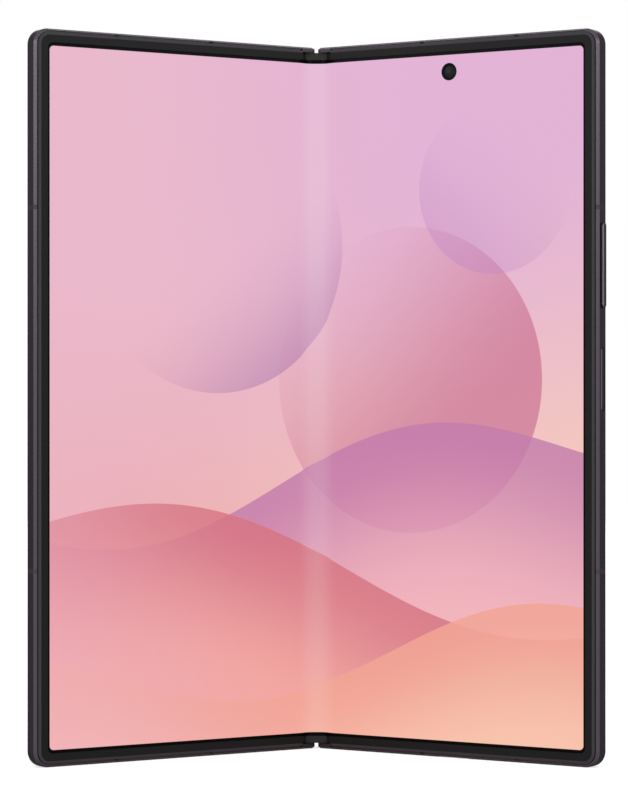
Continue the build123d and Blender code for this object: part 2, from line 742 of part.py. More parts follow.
def end_cap(z0):
    inside = spine_outline(SPINE_INSIDE - FIT) - area(-OUTSIDE, OUTSIDE, -OUTSIDE, AXIS_DEPTH)
    half = CAP_WIDTH / 2
    front = area(-half, half, CAP_FRONT, AXIS_DEPTH + BEYOND)
    cap = upright(inside + front, z0, z0 + CAP_HEIGHT)
    front_edges = cap.edges().filter_by(Axis.Z).group_by(Axis.Y)[0]
    return fillet(front_edges, CAP_FRONT / 2)


def spring_washers():
    """Stacks of disc springs that press on the cams of the sync shafts."""
    washers = []
    for start in MODULE_STARTS:
        first = start + SYNC_POCKET_Z + 2 * FIT + GEAR_LENGTH + CAM_LENGTH + 4 * FIT
        for place in range(WASHER_COUNT):
            z0 = first + place * WASHER_PITCH
            for x in (-SHAFT_OUT, SHAFT_OUT):
                washer = post(x, SHAFT_DEPTH, WASHER_RADIUS, z0, z0 + WASHER_THICKNESS)
                bore = SHAFT_RADIUS + SHAFT_CLEARANCE
                washer -= post(x, SHAFT_DEPTH, bore, z0 - BEYOND, z0 + BEYOND)
                washers.append(washer)
    return washers


def gear_outline(turn):
    """A spur gear outline with straight-sided teeth, its first tooth at the given angle."""
    pitch = 2 * pi / GEAR_TEETH
    root = SHAFT_OUT - GEAR_ROOT
    tip = SHAFT_OUT + GEAR_TIP
    corners = (
        (root, -GEAR_ROOT_SHARE), (tip, -GEAR_TIP_SHARE), (tip, GEAR_TIP_SHARE), (root, GEAR_ROOT_SHARE)
    )
    points = []
    for tooth in range(GEAR_TEETH):
        middle = radians(turn) + tooth * pitch
        for radius, share in corners:
            angle = middle + share * pitch
            points.append((radius * cos(angle), radius * sin(angle)))
    return Polygon(*points, align=None)


def sync_shafts(side):
    """The shaft, gear and cam of one side, in each hinge module."""
    shafts = []
    half_tooth = 180 / GEAR_TEETH
    turn = 180 if side > 0 else half_tooth
    for start in MODULE_STARTS:
        z0 = start + SYNC_POCKET_Z
        z1 = z0 + SYNC_POCKET_LENGTH
        place = Pos(side * SHAFT_OUT, SHAFT_DEPTH, 0)
        shaft = Pos(0, 0, (z0 + z1) / 2) * Cylinder(SHAFT_RADIUS, z1 - z0 + 2 * SHAFT_OVERHANG)
        gear_z = z0 + 2 * FIT
        shaft += upright(gear_outline(turn), gear_z, gear_z + GEAR_LENGTH)
        cam_z = gear_z + GEAR_LENGTH
        shaft += Pos(0, 0, cam_z + CAM_LENGTH / 2) * Cylinder(CAM_RADIUS, CAM_LENGTH)
        shafts.append(place * shaft)
    return shafts


# ---- hinge arms ------------------------------------------------------------------
def arm_outline():
    outer = RAIL_RADIUS + RAIL_THICKNESS
    tongue = axis_circle(outer) - axis_circle(RAIL_RADIUS)
    tongue &= sector(RAIL_START_ANGLE, RAIL_END_ANGLE, 2 * outer)
    back = ARM_DEPTH + ARM_THICKNESS
    neck = Polygon(
        polar(RAIL_RADIUS, RAIL_START_ANGLE),
        NECK_FRONT,
        (NECK_FLAT_FRONT, ARM_DEPTH),
        (HINGE_RAIL + ARM_FIT, ARM_DEPTH),
        (HINGE_RAIL + ARM_FIT, back),
        (NECK_FLAT_BACK, back),
        NECK_BACK,
        polar(outer, RAIL_START_ANGLE + NECK_ANGLE),
        polar(RAIL_RADIUS, RAIL_START_ANGLE + NECK_ANGLE),
        align=None,
    )
    return tongue + neck


def hinge_arms(rail_z):
    arms = []
    for start in MODULE_STARTS:
        z0 = start + rail_z
        arm = upright(arm_outline(), z0, z0 + RAIL_WIDTH)
        plate_z0 = z0 + (RAIL_WIDTH - ARM_PLATE_WIDTH) / 2
        plate_z = (plate_z0, plate_z0 + ARM_PLATE_WIDTH)
        arm += slab(HINGE_RAIL + FIT, ARM_REACH, ARM_DEPTH, ARM_DEPTH + ARM_THICKNESS, *plate_z)
        for x, z in arm_screw_places(start, rail_z):
            arm -= disc(x, z, SCREW_RADIUS + SCREW_FIT, 0, THICKNESS)
        arms.append(arm)
    return arms


def arm_screw_places(start, rail_z):
    middle = start + rail_z + RAIL_WIDTH / 2
    reach = ARM_PLATE_WIDTH / 2 - 2 * SCREW_HEAD_RADIUS
    x = (HINGE_RAIL + ARM_REACH) / 2
    return [(x, middle - reach), (x, middle + reach)]


def arm_screws(rail_z):
    screws = []
    back = ARM_DEPTH + ARM_THICKNESS
    for start in MODULE_STARTS:
        for x, z in arm_screw_places(start, rail_z):
            head = disc(x, z, SCREW_HEAD_RADIUS, back, back + SCREW_HEAD)
            shank = disc(x, z, SCREW_RADIUS, MIDPLATE_FRONT + FIT, back)
            screws.append(head + shank)
    return screws


# ---- back panels and cameras -----------------------------------------------------
def back_panel():
    return panel(
        GLASS_HINGE_BORDER + FIT,
        HALF_WIDTH - GLASS_BORDER - FIT,
        GLASS_BORDER + FIT,
        HEIGHT - GLASS_BORDER - FIT,
        GLASS_FRONT,
        THICKNESS,
        CORNER_RADIUS - GLASS_BORDER - FIT,
        EDGE_ROUND,
    )


def back_glass():
    glass = back_panel()
    for z in LENS_Z:
        glass -= disc(LENS_CENTER_X, z, MODULE_RADIUS + FIT, 0, OUTSIDE)
    glass -= disc(*FLASH, FLASH_RADIUS + FIT, 0, OUTSIDE)
    return glass


def cover_display():
    front = GLASS_FRONT - COVER_DISPLAY_THICKNESS
    display = panel(
        HINGE_RAIL + FIT,
        WALL_INSIDE - FIT,
        END_RAIL + FIT,
        HEIGHT - END_RAIL - FIT,
        front,
        GLASS_FRONT,
        CAVITY_RADIUS,
    )
    return display - disc(*COVER_CAMERA, COVER_CAMERA_RADIUS + FIT, 0, OUTSIDE)


def camera_island():
    reach = RING_RADIUS + ISLAND_MARGIN
    middle = (LENS_Z[0] + LENS_Z[-1]) / 2
    length = LENS_Z[-1] - LENS_Z[0] + 2 * reach
    outline = Pos(LENS_CENTER_X, middle) * Rot(0, 0, 90) * SlotOverall(length, 2 * reach)
    island = extrude(Plane.XZ.offset(-THICKNESS) * outline, amount=-ISLAND_HEIGHT)
    back_edges = island.faces().sort_by(Axis.Y)[-1].edges()
    island = fillet(back_edges, ISLAND_ROUND)
    for z in LENS_Z:
        island -= disc(LENS_CENTER_X, z, MODULE_RADIUS + FIT, 0, OUTSIDE)
    return island


def camera_rings():
    rings = []
    back = THICKNESS + ISLAND_HEIGHT
    for z in LENS_Z:
        inner = RING_RADIUS - RING_WIDTH
        edge = ring(LENS_CENTER_X, z, RING_RADIUS, inner, back, back + RING_HEIGHT)
        outer = edge.faces().sort_by(Axis.Y)[-1].outer_wire().edges()
        rings.append(fillet(outer, RING_WIDTH / 4))
    return rings


def camera_lenses():
    back = THICKNESS + ISLAND_HEIGHT + RING_HEIGHT - LENS_SET_IN
    radius = RING_RADIUS - RING_WIDTH - FIT
    return [disc(LENS_CENTER_X, z, radius, back - LENS_THICKNESS, back) for z in LENS_Z]


def camera_modules():
    modules = []
    back = THICKNESS + ISLAND_HEIGHT + RING_HEIGHT - LENS_SET_IN - LENS_THICKNESS
    for z in LENS_Z:
        half = MODULE_RADIUS + 2 * FIT
        x_span = (LENS_CENTER_X - half, LENS_CENTER_X + half)
        base = slab(*x_span, SHELF_DEPTH, GLASS_FRONT - FIT, z - half, z + half)
        modules.append(base + disc(LENS_CENTER_X, z, MODULE_RADIUS, SHELF_DEPTH, back))
    return modules


def flash_led():
    return disc(*FLASH, FLASH_RADIUS, GLASS_FRONT - 2 * FIT, THICKNESS + FIT)


def selfie_camera(place, radius, window, back):
    """A small camera: a square body on the middle plate with a round barrel."""
    x, z = place
    half = CAMERA_BODY / 2
    body = slab(x - half, x + half, SHELF_DEPTH, back - FIT, z - half, z + half)
    middle = (SHELF_DEPTH + back) / 2
    return body + disc(x, z, radius, min(window, middle), max(window, middle))


# ---- inside pieces ---------------------------------------------------------------
def battery(edges, thickness, back):
    x0, x1, z0, z1 = edges
    return panel(x0, x1, z0, z1, back - thickness, back, BATTERY_RADIUS, BATTERY_RADIUS)


def board(edges):
    x0, x1, z0, z1 = edges
    back = SHELF_DEPTH + BOARD_THICKNESS
    return panel(x0, x1, z0, z1, SHELF_DEPTH, back, BOARD_CORNER, BOARD_CORNER)


def shield_can(edges):
    x0, x1, z0, z1 = edges
    front = SHELF_DEPTH + BOARD_THICKNESS
    back = front + SHIELD_HEIGHT
    wall = SHIELD_WALL
    can = slab(x0, x1, front, back, z0, z1)
    return can - slab(x0 + wall, x1 - wall, front - BEYOND, back - wall, z0 + wall, z1 - wall)


def speaker(edges):
    x0, x1, z0, z1 = edges
    back = SHELF_DEPTH + SPEAKER_THICKNESS
    box = panel(x0, x1, z0, z1, SHELF_DEPTH, back, SPEAKER_CORNER, SPEAKER_CORNER)
    wide = x1 - x0 - 2 * SPEAKER_BORDER
    tall = min(x1 - x0, z1 - z0) - 2 * SPEAKER_BORDER
    outline = Pos((x0 + x1) / 2, (z0 + z1) / 2) * SlotOverall(wide, tall)
    return box - extrude(Plane.XZ.offset(-(back - SPEAKER_CONE)) * outline, amount=-BEYOND)


def charging_coil(back):
    outer, inner = COIL_RADII[1], COIL_RADII[0]
    return ring(*COIL_CENTER, outer, inner, back - COIL_THICKNESS, back)


def magnets(places):
    wide, tall = MAGNET_SIZE
    x1 = WALL_INSIDE - FIT
    bars = []
    back = SHELF_DEPTH + MAGNET_THICKNESS
    for z in places:
        bars.append(slab(x1 - wide, x1, SHELF_DEPTH, back, z - tall / 2, z + tall / 2))
    return bars


def motor(edges):
    x0, x1, z0, z1 = edges
    back = SHELF_DEPTH + MAGNET_THICKNESS
    case = panel(x0, x1, z0, z1, SHELF_DEPTH, back, MOTOR_CORNER, MOTOR_CORNER)
    return fillet(case.faces().sort_by(Axis.Y)[-1].edges(), MOTOR_ROUND)


# ---- connector -------------------------------------------------------------------
def port_shell():
    depth = port_depth()
    z1 = PORT_RECESS + PORT_DEPTH
    outside = wall_slot(PORT_MIDDLE, depth, PORT_WIDTH, PORT_HEIGHT, PORT_RECESS, z1)
    wide = PORT_WIDTH - 2 * PORT_WALL
    tall = PORT_HEIGHT - 2 * PORT_WALL
    return outside - wall_slot(PORT_MIDDLE, depth, wide, tall, -BEYOND, z1 - PORT_WALL)


def port_tongue():
    depth = port_depth()
    wide, tall = PORT_TONGUE
    z1 = PORT_RECESS + PORT_DEPTH - PORT_WALL
    border = 2 * (PORT_WALL + SCREW_FIT)
    base = wall_slot(PORT_MIDDLE, depth, PORT_WIDTH - border, PORT_HEIGHT - border, z1 - PORT_BASE, z1)
    tip = PORT_RECESS + 4 * PORT_WALL
    x_span = (PORT_MIDDLE - wide / 2, PORT_MIDDLE + wide / 2)
    return base + slab(*x_span, depth - tall / 2, depth + tall / 2, tip, z1)


# ---- keys and tray ---------------------------------------------------------------
def key(span, stand):
    z0, z1 = span
    face = HALF_WIDTH + stand
    half = KEY_THICKNESS / 2
    cap = slab(face - KEY_CAP, face, KEY_DEPTH - half, KEY_DEPTH + half, z0, z1)
    cap = fillet(cap.edges().filter_by(Axis.X), half * KEY_END_SHARE)
    cap = fillet(cap.faces().sort_by(Axis.X)[-1].edges(), KEY_EDGE_ROUND)
    stem_end = WALL_INSIDE - FIT
    stem_length = face - KEY_CAP - stem_end + KEY_CAP / 2
    for z in key_stem_places(span):
        stem = Pos(stem_end + stem_length / 2, KEY_DEPTH, z) * Rot(0, 90, 0)
        cap += stem * Cylinder(KEY_STEM_RADIUS, stem_length)
    return cap


def key_switches():
    """Two sprung switches a key, on an upright strip beside the side wall."""
    dome = WALL_INSIDE - FIT - KEY_TRAVEL - FIT
    strip = dome - SWITCH_THICKNESS
    deep = SWITCH_SIZE[0] / 2
    tall = SWITCH_SIZE[1] / 2
    pieces = []
    for span in (POWER_KEY, VOLUME_KEY):
        base = slab(strip - SWITCH_STRIP, strip, MIDPLATE_BACK, GLASS_FRONT - 4 * FIT, *span)
        for z in key_stem_places(span):
            base += slab(strip, dome, KEY_DEPTH - deep, KEY_DEPTH + deep, z - tall, z + tall)
        pieces.append(base)
    return pieces


def card_tray():
    z0 = TRAY_RECESS
    face_z1 = z0 + TRAY_FACE
    face_size = (TRAY_FACE_WIDTH - FIT, TRAY_FACE_HEIGHT)
    face = wall_slot(TRAY_MIDDLE, TRAY_DEPTH, *face_size, z0, face_z1)
    half = TRAY_WIDTH / 2
    thick = TRAY_THICKNESS / 2
    y_span = (TRAY_DEPTH - thick, TRAY_DEPTH + thick)
    plate = slab(TRAY_MIDDLE - half, TRAY_MIDDLE + half, *y_span, face_z1, z0 + TRAY_LENGTH)
    wide, tall = CARD_WINDOW
    z_card = z0 + TRAY_LENGTH - tall - 2 * TRAY_FACE
    x_span = (TRAY_MIDDLE - wide / 2, TRAY_MIDDLE + wide / 2)
    return face + plate - slab(*x_span, 0, THICKNESS, z_card, z_card + tall)


def card_socket():
    x0, x1, y0, y1 = tray_way()
    wall = 2 * SHIELD_WALL
    z0 = END_RAIL + FIT
    z1 = TRAY_RECESS + TRAY_LENGTH + SOCKET_ROOM
    case = slab(x0 - wall, x1 + wall, SHELF_DEPTH, y1 + wall, z0, z1)
    return case - slab(x0, x1, y0, y1, z0 - BEYOND, z1 - wall)


# ---- write everything ------------------------------------------------------------
def spine_nodes():
    return {
        "spine_cover": [spine_cover()],
        "hinge_end_cap_top": [end_cap(SPINE_TOP - CAP_HEIGHT)],
        "hinge_end_cap_bottom": [end_cap(SPINE_BOTTOM)],
        "hinge_blocks": hinge_blocks(),
        "hinge_block_screws": block_screws(),
        "hinge_spring_washers": spring_washers(),
        "fold_center_plate": [center_plate()],
        "display_fold_zone": [fold_zone()],
        "left_sync_shafts": sync_shafts(-1),
        "right_sync_shafts": sync_shafts(1),
    }


def left_nodes():
    frame, breaks = split_breaks(left_frame())
    cover_front = GLASS_FRONT - COVER_DISPLAY_THICKNESS
    camera = selfie_camera(COVER_CAMERA, COVER_CAMERA_RADIUS, GLASS_FRONT - FIT, cover_front)
    return {
        "left_frame": [frame],
        "left_antenna_breaks": breaks,
        "left_bezel_rim": [bezel_rim()],
        "display_panel_left": [display_panel()],
        "left_support_plate": [support_plate()],
        "left_battery": [battery(LEFT_BATTERY, LEFT_BATTERY_THICKNESS, cover_front - 2 * FIT)],
        "cover_display_panel": [cover_display()],
        "cover_glass": [back_panel()],
        "cover_camera": [camera],
        "sub_board": [board(SUB_BOARD)],
        "vibration_motor": [motor(MOTOR)],
        "earpiece": [speaker(EARPIECE)],
        "card_socket": [card_socket()],
        "left_hinge_arms": hinge_arms(LEFT_RAIL_Z),
        "left_arm_screws": arm_screws(LEFT_RAIL_Z),
        "left_magnets": magnets(LEFT_MAGNETS),
        "card_tray": [card_tray()],
    }


def right_nodes():
    frame, breaks = split_breaks(right_frame())
    panel_right = display_panel() - camera_hole(INNER_CAMERA, INNER_CAMERA_RADIUS)
    plate_right = support_plate() - camera_hole(INNER_CAMERA, INNER_CAMERA_RADIUS)
    camera = selfie_camera(INNER_CAMERA, INNER_CAMERA_RADIUS, DISPLAY_DEPTH + FIT, GLASS_FRONT)
    battery_back = GLASS_FRONT - COIL_THICKNESS - 2 * FIT
    return {
        "right_frame": [frame],
        "right_antenna_breaks": breaks,
        "right_bezel_rim": [bezel_rim()],
        "display_panel_right": [panel_right],
        "right_support_plate": [plate_right],
        "inner_camera": [camera],
        "back_glass": [back_glass()],
        "camera_island": [camera_island()],
        "camera_rings": camera_rings(),
        "camera_lenses": camera_lenses(),
        "camera_modules": camera_modules(),
        "flash_led": [flash_led()],
        "main_board": [board(MAIN_BOARD)],
        "port_board": [board(PORT_BOARD)],
        "board_shields": [shield_can(edges) for edges in SHIELDS],
        "right_battery": [battery(RIGHT_BATTERY, BATTERY_THICKNESS, battery_back)],
        "charging_coil": [charging_coil(GLASS_FRONT - FIT)],
        "usb_port_shell": [port_shell()],
        "usb_port_tongue": [port_tongue()],
        "bottom_speaker": [speaker(BOTTOM_SPEAKER)],
        "top_speaker": [speaker(TOP_SPEAKER)],
        "right_hinge_arms": hinge_arms(RIGHT_RAIL_Z),
        "right_arm_screws": arm_screws(RIGHT_RAIL_Z),
        "right_magnets": magnets(RIGHT_MAGNETS),
        "key_switches": key_switches(),
        "volume_key": [key(VOLUME_KEY, VOLUME_KEY_STAND)],
        "power_key": [key(POWER_KEY, POWER_KEY_STAND)],
    }


def write_node(name, pieces, place):
    solids = []
    for piece in pieces:
        solids += place(piece).solids()
    shape = solids[0] if len(solids) == 1 else Compound(children=solids)
    export_step(shape, f"parts/{name}.step")


def main():
    os.makedirs("parts", exist_ok=True)
    groups = ((spine_nodes(), on_spine), (left_nodes(), on_left), (right_nodes(), on_right))
    for nodes, place in groups:
        for name, pieces in nodes.items():
            write_node(name, pieces, place)


main()
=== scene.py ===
import json
import math

import bmesh
import bpy
from mathutils import Matrix, Vector


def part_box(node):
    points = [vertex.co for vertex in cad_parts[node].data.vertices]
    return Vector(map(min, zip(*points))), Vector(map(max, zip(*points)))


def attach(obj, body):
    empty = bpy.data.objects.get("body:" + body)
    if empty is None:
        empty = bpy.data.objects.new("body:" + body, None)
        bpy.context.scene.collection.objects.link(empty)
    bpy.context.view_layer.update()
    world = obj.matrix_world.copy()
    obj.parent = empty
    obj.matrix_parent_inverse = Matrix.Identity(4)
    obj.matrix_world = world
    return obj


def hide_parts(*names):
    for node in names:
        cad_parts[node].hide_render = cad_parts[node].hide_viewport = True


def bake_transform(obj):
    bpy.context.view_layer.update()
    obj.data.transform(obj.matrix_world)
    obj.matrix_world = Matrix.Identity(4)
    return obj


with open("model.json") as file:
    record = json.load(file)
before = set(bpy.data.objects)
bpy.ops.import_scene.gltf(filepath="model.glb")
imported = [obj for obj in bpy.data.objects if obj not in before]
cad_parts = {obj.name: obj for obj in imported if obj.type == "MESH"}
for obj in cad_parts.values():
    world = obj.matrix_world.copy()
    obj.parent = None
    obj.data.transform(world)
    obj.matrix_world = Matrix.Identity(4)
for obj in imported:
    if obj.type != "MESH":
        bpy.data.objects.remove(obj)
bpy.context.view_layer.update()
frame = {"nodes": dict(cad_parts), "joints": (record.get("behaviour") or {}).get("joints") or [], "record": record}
NODES = frame["nodes"]

# ---- sizes, in metres ------------------------------------------------------------
MM = 0.001
REST_TILT = math.radians(32.8)
AXIS_OUT = 0.9 * MM
AXIS_DEPTH = 0.65 * MM
DISPLAY_DEPTH = 0.4 * MM
DISPLAY_BACK = 0.8 * MM
FOLD_ZONE = 4.4 * MM
FOLD_STEPS = 22
HALF_WIDTH = 71.6 * MM
HEIGHT = 158.4 * MM
HALF_HEIGHT = HEIGHT / 2
CORNER_RADIUS = 3.4 * MM
FRAME_LIP = 0.45 * MM
CHAMFER_BACK = 1.0 * MM
RIM_BEVEL_INSET = 1.36 * MM
KEY_FRONT = 2.15 * MM
PICTURE_HALF_WIDTH = 68.0 * MM
PICTURE_HALF_HEIGHT = 75.5 * MM
PICTURE_CORNER = 0.95 * MM
INNER_CAMERA = (34.7 * MM, 151.0 * MM)
INNER_CAMERA_WINDOW = 1.92 * MM
COVER_CAMERA = (36.5 * MM, 150.6 * MM)
COVER_PUPIL = 0.5 * MM
COVER_IRIS = 1.3 * MM
COVER_LENS = 1.5 * MM
COVER_COLLAR = 2.15 * MM
COVER_SCREEN_INSET = 3.1 * MM
LENS_OUT = 59.5 * MM
LENS_UP = (109.5 * MM, 126.5 * MM, 143.5 * MM)
LENS_BACK = 6.2 * MM
LENS_FOOT = 1.4 * MM
ELEMENT_RADIUS = 2.3 * MM
SMALL_ELEMENT_RADIUS = 1.38 * MM
FLASH = (47.6 * MM, 143.5 * MM)
FLASH_PLATE = 0.85 * MM
FLASH_RING_PITCH = 0.22 * MM
SOUND_COUNT = 5
SOUND_PITCH = 2.2 * MM
SOUND_DEPTH = 2.5 * MM
SOUND_MESH = (1.48 * MM, 0.78 * MM, 0.1 * MM)
SOUND_INSET = 0.5 * MM
WEAVE_PITCH = 0.16 * MM
COIL_PITCH = 0.6 * MM
BOTTOM_SOUND = 58.6 * MM
TOP_SOUND = 20.0 * MM
PORT_OUT = 35.8 * MM
PORT_BACK = 2.325 * MM
TONGUE_HALF = 0.35 * MM
CONTACT_COUNT = 12
CONTACT_PITCH = 0.5 * MM
CONTACT = (2.6 * MM, 0.26 * MM, 0.03 * MM)
CONTACT_UP = 2.9 * MM
CREASE_MIDDLE = 0.2 * MM
CREASE_REACH = 5.7 * MM
# Strength of the highlight painted along the crease, at the bottom and at the top.
CREASE_HIGHLIGHT_LOW = 0.072
CREASE_HIGHLIGHT_HIGH = 0.098
SHARP_ANGLE = math.radians(32)
MERGE_REACH = 0.0001 * MM
LATHE_STEPS = 72
ROUND_END_STEPS = 8
SETTLING_ROUNDS = 200
SOFT_LINE = 0.02 * MM
EDGE_BLUR = (0.03 * MM, 0.01 * MM)

fold_axis = next(joint for joint in frame["joints"] if joint["name"] == "left_fold")["pos_m"]
STAND_SHIFT = fold_axis[1] - AXIS_DEPTH


# ---- places ----------------------------------------------------------------------
def turned(out, depth, angle):
    """A point of the flat right half, turned about its fold axis by an angle."""
    across = out - AXIS_OUT
    back = depth - AXIS_DEPTH
    return (
        AXIS_OUT + across * math.cos(angle) + back * math.sin(angle),
        AXIS_DEPTH - across * math.sin(angle) + back * math.cos(angle) + STAND_SHIFT,
    )


def half_matrix(side):
    """From a flat half (out from the fold, back, up) to its place at rest."""
    to_axis = Matrix.Translation((-AXIS_OUT, -AXIS_DEPTH, 0))
    from_axis = Matrix.Translation((AXIS_OUT, AXIS_DEPTH + STAND_SHIFT, 0))
    place = from_axis @ Matrix.Rotation(-REST_TILT, 4, "Z") @ to_axis
    if side < 0:
        place = Matrix.Diagonal((-1, 1, 1, 1)) @ place
    return place


# ---- pieces ----------------------------------------------------------------------
def keep_piece(name, bm, material, body=None, replaced=()):
    """Makes a shape a piece of the scene, and says what it rides on and stands in for."""
    bmesh.ops.remove_doubles(bm, verts=bm.verts, dist=MERGE_REACH)
    bmesh.ops.recalc_face_normals(bm, faces=bm.faces)
    mesh = bpy.data.meshes.new(name)
    bm.to_mesh(mesh)
    bm.free()
    mesh.materials.append(material)
    mesh.shade_smooth()
    mesh.set_sharp_from_angle(angle=SHARP_ANGLE)
    piece = bpy.data.objects.new(name, mesh)
    bpy.context.scene.collection.objects.link(piece)
    if body:
        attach(piece, body)
    if replaced:
        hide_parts(*replaced)
    return piece


def lathe(profile, seat):
    """A closed turned shape from radii and heights, in millimetres, put on its seat."""
    bm = bmesh.new()
    points = [bm.verts.new((radius * MM, 0, height * MM)) for radius, height in profile]
    runs = [bm.edges.new(pair) for pair in zip(points, points[1:])]
    around = {"cent": (0, 0, 0), "axis": (0, 0, 1), "angle": 2 * math.pi, "steps": LATHE_STEPS}
    bmesh.ops.spin(bm, geom=points + runs, use_merge=True, **around)
    bmesh.ops.transform(bm, matrix=seat, verts=bm.verts)
    return bm


def facing(out, depth, up, back):
    """Seats a turned shape on the right half: its height runs to the back or to the front."""
    turn = Matrix.Rotation(math.radians(-90 if back else 90), 4, "X")
    return half_matrix(1) @ Matrix.Translation((out, depth, up)) @ turn


# ---- node graphs -----------------------------------------------------------------
def linear(red, green, blue):
    """A colour as it is seen, in steps of 255, as the shader wants it."""
    def channel(value):
        value /= 255
        return value / 12.92 if value <= 0.04045 else ((value + 0.055) / 1.055) ** 2.4

    return (channel(red), channel(green), channel(blue), 1.0)


WHITE = (1.0, 1.0, 1.0, 1.0)
BLACK = (0.0, 0.0, 0.0, 1.0)


class Graph:
    """Adds nodes to a material or a group and joins them."""

    def __init__(self, tree):
        self.tree = tree

    def node(self, kind, inputs=(), **settings):
        """A new node with its settings, then its inputs: values or sockets to join."""
        made = self.tree.nodes.new(kind)
        for name, value in settings.items():
            setattr(made, name, value)
        for name, value in dict(inputs).items():
            self.put(value, made.inputs[name])
        return made

    def put(self, value, socket):
        if isinstance(value, bpy.types.NodeSocket):
            self.tree.links.new(value, socket)
        else:
            socket.default_value = value

    def math(self, operation, first, second=0.0, third=0.0):
        made = self.node("ShaderNodeMath", operation=operation)
        for place, value in enumerate((first, second, third)):
            self.put(value, made.inputs[place])
        return made.outputs[0]

    def length(self, first, second):
        """The length of a flat vector from its two parts."""
        squares = [self.math("MULTIPLY", part, part) for part in (first, second)]
        return self.math("SQRT", self.math("ADD", *squares))

    def mix(self, factor, first, second):
        """The first colour at 0, the second at 1."""
        made = self.node("ShaderNodeMix", data_type="RGBA", clamp_factor=True)
        self.put(factor, made.inputs[0])
        self.put(first, made.inputs[6])
        self.put(second, made.inputs[7])
        return made.outputs[2]

    def span(self, value, low, high, first=0.0, last=1.0, smooth=True):
        """Carries a value between low and high over to first and last, and holds it beyond."""
        made = self.node("ShaderNodeMapRange", clamp=True)
        made.interpolation_type = "SMOOTHSTEP" if smooth else "LINEAR"
        for place, number in enumerate((value, low, high, first, last)):
            self.put(number, made.inputs[place])
        return made.outputs[0]

    def noise(self, vector, scale, detail=2.0, roughness=0.5):
        inputs = {"Vector": vector, "Scale": scale, "Detail": detail, "Roughness": roughness}
        return self.node("ShaderNodeTexNoise", inputs).outputs["Fac"]

    def clouds(self, vector, scale, low, high, detail=2.0):
        """A value that drifts slowly between low and high."""
        return self.span(self.noise(vector, scale, detail), 0.3, 0.7, low, high)

    def ripple(self, value, pitch):
        """A sine wave of the value, with its crests a pitch apart."""
        return self.math("SINE", self.math("MULTIPLY", value, 2 * math.pi / pitch))

    def tinted(self, color, gain):
        """A colour made lighter or darker all over."""
        scaled = self.node("ShaderNodeVectorMath", operation="SCALE")
        self.put(color, scaled.inputs[0])
        self.put(gain, scaled.inputs["Scale"])
        return scaled.outputs[0]

    def stretched(self, vector, scale):
        """A place scaled on each axis, which draws a pattern out where the scale is small."""
        return self.node("ShaderNodeMapping", {"Vector": vector, "Scale": scale}).outputs[0]

    def place(self):
        """Where a point lies on its piece, in metres."""
        return self.node("ShaderNodeTexCoord").outputs["Object"]


def new_group(name, inputs, outputs):
    """A group of shader nodes: inputs by name and value, outputs by name and kind."""
    kinds = {float: "NodeSocketFloat", tuple: "NodeSocketColor", Vector: "NodeSocketVector"}
    tree = bpy.data.node_groups.new(name, "ShaderNodeTree")
    for label, value in inputs.items():
        socket = tree.interface.new_socket(label, in_out="INPUT", socket_type=kinds[type(value)])
        socket.default_value = value
    for label, kind in outputs.items():
        tree.interface.new_socket(label, in_out="OUTPUT", socket_type=kinds[kind])
    graph = Graph(tree)
    entry = graph.node("NodeGroupInput").outputs
    leave = graph.node("NodeGroupOutput").inputs
    return graph, entry, leave


def on_group(graph, tree, vector):
    """What a group gives for a place."""
    return graph.node("ShaderNodeGroup", {"Vector": vector}, node_tree=tree).outputs


def fine_grain_group():
    """Small even grain and slow clouding, for moulded, blasted and coated surfaces."""
    graph, entry, leave = new_group(
        "fine_grain",
        {
            "Vector": Vector((0, 0, 0)),
            "Color": (0.5, 0.5, 0.5, 1.0),
            "Grain Scale": 6000.0,
            "Cloud Scale": 60.0,
            "Color Spread": 0.1,
            "Roughness": 0.4,
            "Roughness Spread": 0.1,
        },
        {"Color": tuple, "Roughness": float, "Height": float},
    )
    grain = graph.noise(entry["Vector"], entry["Grain Scale"], 2.0)
    cloud = graph.noise(entry["Vector"], entry["Cloud Scale"], 3.0)
    both = graph.math("ADD", graph.math("MULTIPLY", grain, 0.5), graph.math("MULTIPLY", cloud, 0.5))
    around = graph.math("SUBTRACT", both, 0.5)
    spread = graph.math("MULTIPLY", around, entry["Color Spread"])
    gain = graph.math("MULTIPLY_ADD", spread, 4.0, 1.0)
    graph.put(graph.tinted(entry["Color"], gain), leave["Color"])
    drift = graph.math("MULTIPLY", graph.math("SUBTRACT", cloud, 0.5), 2.0)
    rough = graph.math("MULTIPLY_ADD", drift, entry["Roughness Spread"], entry["Roughness"])
    graph.put(rough, leave["Roughness"])
    graph.put(grain, leave["Height"])
    return graph.tree


def brushed_group():
    """Fine parallel marks, drawn out along the upright axis."""
    graph, entry, leave = new_group(
        "brushed",
        {
            "Vector": Vector((0, 0, 0)),
            "Color": (0.5, 0.5, 0.5, 1.0),
            "Mark Scale": 5000.0,
            "Color Spread": 0.15,
            "Roughness": 0.3,
            "Roughness Spread": 0.1,
        },
        {"Color": tuple, "Roughness": float, "Height": float},
    )
    drawn = graph.stretched(entry["Vector"], (1.0, 1.0, 0.02))
    marks = graph.noise(drawn, entry["Mark Scale"], 3.0, 0.6)
    around = graph.math("SUBTRACT", marks, 0.5)
    spread = graph.math("MULTIPLY", around, entry["Color Spread"])
    gain = graph.math("MULTIPLY_ADD", spread, 2.0, 1.0)
    graph.put(graph.tinted(entry["Color"], gain), leave["Color"])
    rough = graph.math("MULTIPLY_ADD", around, entry["Roughness Spread"], entry["Roughness"])
    graph.put(rough, leave["Roughness"])
    graph.put(marks, leave["Height"])
    return graph.tree


